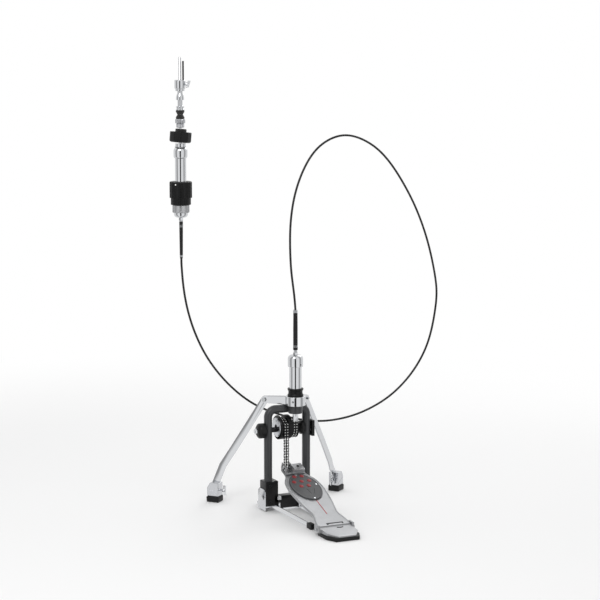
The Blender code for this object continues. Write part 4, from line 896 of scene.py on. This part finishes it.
# The sleeve's index dot: white enamel.
WHITE = surface("white_enamel_dot", "black_plastic", ("#F2F2EE", "#E9E9E5"), (0.3, 0.4), 1.5, 0.02, IOR=1.5)
at, way = around(head_axis, -139, sleeve_radius - 1.1, high.z - 5.5)
fit("sleeve_index_dot", turned([(0, 0.0), (1.7, 0.0), (1.7, 0.9), (1.2, 1.15), (0, 1.2)], at, way, 28), WHITE,
    "tension_sleeve")

# The head tube, chromed steel, with the turned collar that the seat stands on.
open_tube("chromed_head_tube", "head_tube", 8, HEAD_ROD_BORE, 4)
low, high = box("head_collar")
foot = upright("head_collar", low.z)
fit("turned_head_collar", turned([(HEAD_ROD_BORE, 0), (13.6, 0), (14.6, 0.9), (15.8, 3), (15.8, 16.5),
    (15.2, 19.2), (13.6, 22), (12.3, 23.4), (12.15, 24.6), (12.15, high.z - low.z),
    (HEAD_ROD_BORE, high.z - low.z)], foot, steps=96), CHROME, "root", ("head_collar",), 0.3)
fit("collar_groove_ring", turned([(12, 24.2), (12.6, 24.2), (12.6, 25.6), (12, 25.6)], foot, steps=72), STEEL,
    "root")

# The seat: a faceted nylon cup that tilts the lower cymbal, with a black felt washer on its boss.
SEAT_BORE = 6.5
FLOOR, WALL = 14.5, 23.4  # heights of the cup's floor and wall
SEAT_TILT = math.radians(5)
seat_low = 853.7
seat_centre = Vector((head_axis[0], head_axis[1], seat_low + 8.5))
tilt = Matrix.Translation(seat_centre) @ Matrix.Rotation(SEAT_TILT, 4, "Y") @ Matrix.Translation(-seat_centre)


cup = turned([(SEAT_BORE, 0), (21.5, 0), (24.6, 1.6), (25.3, 4), (25.3, WALL - 0.8), (24.7, WALL), (23.4, WALL),
    (22.2, FLOOR), (14.5, FLOOR), (13.2, 22.2), (SEAT_BORE, 22.2)], upright("head_tube", seat_low), steps=160,
    wave=flats(10, 20, 0.8))
cup.transform(tilt)
fit("faceted_seat_cup", cup, NYLON, "seat", ("seat_cup",))
# Pressed wool felt: dense black fibre that takes no light, with a soft fuzz at its edge.
FELT = surface("pressed_black_felt", "felt", ("#131313", "#222221"), (0.85, 1.0), 1.3, 0.35, Sheen_Weight=0.3,
    Sheen_Roughness=0.5)


def felted(seed):
    """A wave of faint lumps, as on the cut edge of felt."""
    def wave(angle, radius, height):
        return 0.12 * math.sin(23 * angle + seed) * math.cos(0.9 * height) if radius > 6 else 0
    return wave


pad = turned([(SEAT_BORE, seat_low + 22.5), (12.3, seat_low + 22.5), (12.7, seat_low + 24),
    (12.7, seat_low + 29), (12.0, seat_low + 30.6), (SEAT_BORE, seat_low + 30.6)], head_axis, steps=120,
    wave=felted(0))
pad.transform(tilt)
fit("seat_felt_washer", pad, FELT, "seat", ("seat_felt",))

# The pull rod: ground and chromed steel, up through the head to the clutch.
ROD_RADIUS = 3.25
WASHER_RADIUS = 7.4
low, high = box("upper_rod")
washer = 806.1  # the height of the spring's washer
fit("chromed_pull_rod", turned([(0, low.z), (ROD_RADIUS, low.z), (ROD_RADIUS, washer - 3),
    (WASHER_RADIUS, washer - 3), (WASHER_RADIUS, washer), (ROD_RADIUS, washer), (ROD_RADIUS, high.z - 1.2),
    (2.5, high.z), (0, high.z)], head_axis, steps=64), CHROME, "upper_rod", ("upper_rod",), 0.15)

# The clutch: a chromed tube with a flange, two felts and two nuts for the upper cymbal, and a round body whose
# wing screw grips the pull rod.
clutch_low = box("clutch_tube")[0].z
body_low, body_high = box("clutch_body")
CLUTCH_BORE = 4.95
NUT_RADIUS = 9.2
FELT_RADIUS = 9.8
# Where each piece begins, from the lower nut up to the crown of the bell.
nut_z, ring_z, felt_z, gap_z, flange_z, neck_z, bell_z, crown_z = (clutch_low + rise for rise in (0.2, 9.4,
    19.6, 29.4, 39.3, 48.4, 61.9, 77.8))
fit("clutch_tube_and_bell", turned([(HEAD_ROD_BORE, clutch_low), (4.8, clutch_low), (4.8, flange_z),
    (NUT_RADIUS, flange_z), (NUT_RADIUS, flange_z + 2), (8.2, flange_z + 3), (8.2, flange_z + 5),
    (NUT_RADIUS, flange_z + 6), (NUT_RADIUS, neck_z - 1), (6.4, neck_z), (5.7, neck_z + 1), (5.7, bell_z),
    (9.1, bell_z + 0.4), (NUT_RADIUS, bell_z + 3), (8.8, bell_z + 7), (7.9, bell_z + 11), (6.2, crown_z - 0.8),
    (6, crown_z), (6, body_low.z - 0.3), (HEAD_ROD_BORE, body_low.z - 0.3)], head_axis, steps=80), CHROME,
    "clutch", ("clutch_tube",), 0.2)


def notched(count, depth):
    """A wave of finger notches round a nut."""
    def wave(angle, radius, _height):
        return -depth * max(0.0, math.cos(count * angle)) ** 3 if radius > 7 else 0
    return wave


fit("clutch_lower_nut", turned([(CLUTCH_BORE, nut_z), (8.4, nut_z), (NUT_RADIUS, nut_z + 0.8),
    (NUT_RADIUS, ring_z - 1.6), (7.8, ring_z - 0.6), (7.8, ring_z), (CLUTCH_BORE, ring_z)], head_axis,
    steps=144, wave=notched(12, 0.7)), CAST_CHROME, "clutch", ("clutch_nuts",))
fit("clutch_upper_nut", turned([(CLUTCH_BORE, ring_z), (10.8, ring_z), (11.5, ring_z + 0.8),
    (11.5, felt_z - 1.1), (10.8, felt_z - 0.3), (CLUTCH_BORE, felt_z - 0.3)], head_axis, steps=144,
    wave=notched(8, 1.0)), CAST_CHROME, "clutch")
fit("clutch_lower_felt", turned([(CLUTCH_BORE, felt_z), (NUT_RADIUS, felt_z), (FELT_RADIUS, felt_z + 1),
    (FELT_RADIUS, felt_z + 3.6), (8, felt_z + 6.6), (6.4, gap_z - 0.3), (CLUTCH_BORE, gap_z - 0.3)], head_axis,
    steps=100, wave=felted(1)), FELT, "clutch", ("lower_felt",))
fit("clutch_upper_felt", turned([(CLUTCH_BORE, gap_z), (6.4, gap_z), (8, gap_z + 3), (FELT_RADIUS, gap_z + 5.8),
    (FELT_RADIUS, flange_z - 1.3), (NUT_RADIUS, flange_z - 0.3), (CLUTCH_BORE, flange_z - 0.3)], head_axis,
    steps=100, wave=felted(2)), FELT, "clutch", ("upper_felt",))
fit("clutch_grip_body", turned([(HEAD_ROD_BORE, body_low.z), (9.9, body_low.z), (10.5, body_low.z + 0.6),
    (10.5, body_low.z + 4.2), (12.1, body_low.z + 5.6), (12.5, body_low.z + 6.4), (12.5, body_high.z - 1.2),
    (11.6, body_high.z), (HEAD_ROD_BORE, body_high.z)], head_axis, steps=96), CHROME, "clutch",
    ("clutch_body",), 0.3)
# The dark strip beside the pull rod: a slim black bar, kept upright in the top of the clutch's body, that
# paints the rod's dark reflected side as a solid piece.
at, way = around(head_axis, -25, 7.4, body_high.z - 1)
fit("painted_rod_reflection_bar", turned([(0, 0), (2.1, 0), (2.1, 43), (1.6, 43.6), (0, 43.6)], at, steps=48,
    wave=flats(6)), STEEL, "clutch", (), 0.15)
as_made("clutch_wing_screw", "clutch_screw", CHROME, "clutch_screw", 0.5, 3)

# The room: a plain pale floor that runs up into a plain pale light, one broad soft lamp over the player's left
# shoulder and a weaker one behind to the right. A dark gap stands at the camera's side, for the chrome to show.
# Its lengths are in metres.
floor_paint = bpy.data.materials.new("pale_floor_paint")
floor_paint.use_nodes = True
floor_paint.node_tree.nodes.clear()
away = add(floor_paint, "VectorMath", {0: add(floor_paint, "TexCoord").outputs["Object"]}, operation="LENGTH")
lift = add(floor_paint, "MapRange", {"Value": away.outputs["Value"], "From Min": 0.9, "From Max": 2.2},
    interpolation_type="SMOOTHSTEP")
matt = add(floor_paint, "BsdfDiffuse", {"Color": linear("#F6F6F6")})
glow = add(floor_paint, "Emission", {"Color": (1, 1, 1, 1)})
fade = add(floor_paint, "MixShader", {0: lift.outputs[0], 1: matt.outputs[0], 2: glow.outputs[0]})
add(floor_paint, "OutputMaterial", {"Surface": fade.outputs[0]})
sheet = bmesh.new()
bmesh.ops.create_grid(sheet, x_segments=2, y_segments=2, size=40)
floor_mesh = bpy.data.meshes.new("floor")
sheet.to_mesh(floor_mesh)
sheet.free()
floor_mesh.materials.append(floor_paint)
floor = bpy.data.objects.new("floor", floor_mesh)
floor.location.z = -0.2 * MM
floor.visible_glossy = False
bpy.context.collection.objects.link(floor)
sky = bpy.data.worlds.new("studio")
bpy.context.scene.world = sky
sky.use_nodes = True
sky.node_tree.nodes.clear()
way = add(sky, "TexCoord").outputs["Generated"]
parts = add(sky, "SeparateXYZ", {"Vector": way})
turn = add(sky, "Math", {0: parts.outputs["X"], 1: parts.outputs["Y"]}, operation="ARCTAN2")
# The dark gap lies at the bearing that the camera stands at, as seen from the object.
off = add(sky, "Math", {0: turn.outputs[0], 1: math.radians(180 - 25)}, operation="ADD")
wrap = add(sky, "Math", {0: off.outputs[0], 1: math.pi, 2: -math.pi}, operation="WRAP")
share = add(sky, "MapRange", {"Value": wrap.outputs[0], "From Min": -math.pi, "From Max": math.pi})
ramp = add(sky, "ValToRGB", {"Fac": share.outputs[0]})
# How bright each bearing is, as shares of the turn; the gap is in the middle.
bands = [(0.0, 0.85), (0.22, 0.95), (0.26, 0.4), (0.31, 0.5), (0.35, 1.0), (0.46, 1.0), (0.475, 0.03),
    (0.525, 0.03), (0.54, 1.0), (0.64, 1.0), (0.68, 0.35), (0.73, 0.45), (0.77, 0.95), (1.0, 0.85)]
stops = ramp.color_ramp.elements
while len(stops) < len(bands):
    stops.new(0.5)
for stop, (place, value) in zip(stops, bands):
    stop.position = place
    stop.color = (value, value, value, 1)
seen = add(sky, "LightPath").outputs["Is Camera Ray"]
shown = add(sky, "MixRGB", {"Fac": seen, "Color1": ramp.outputs[0], "Color2": (1, 1, 1, 1)})
light = add(sky, "Background", {"Color": shown.outputs[0], "Strength": 1.0})
add(sky, "OutputWorld", {"Surface": light.outputs[0]})
for name, place, size, power in (("key", (-1.6, -1.8, 2.6), 1.4, 26), ("rim", (1.8, 1.6, 2.0), 1.2, 14)):
    lamp = bpy.data.lights.new(name, "AREA")
    lamp.size = size
    lamp.energy = power
    holder = bpy.data.objects.new(name, lamp)
    holder.location = place
    holder.rotation_euler = (Vector((0, 0, 0.4)) - Vector(place)).to_track_quat("-Z", "Y").to_euler()
    bpy.context.collection.objects.link(holder)
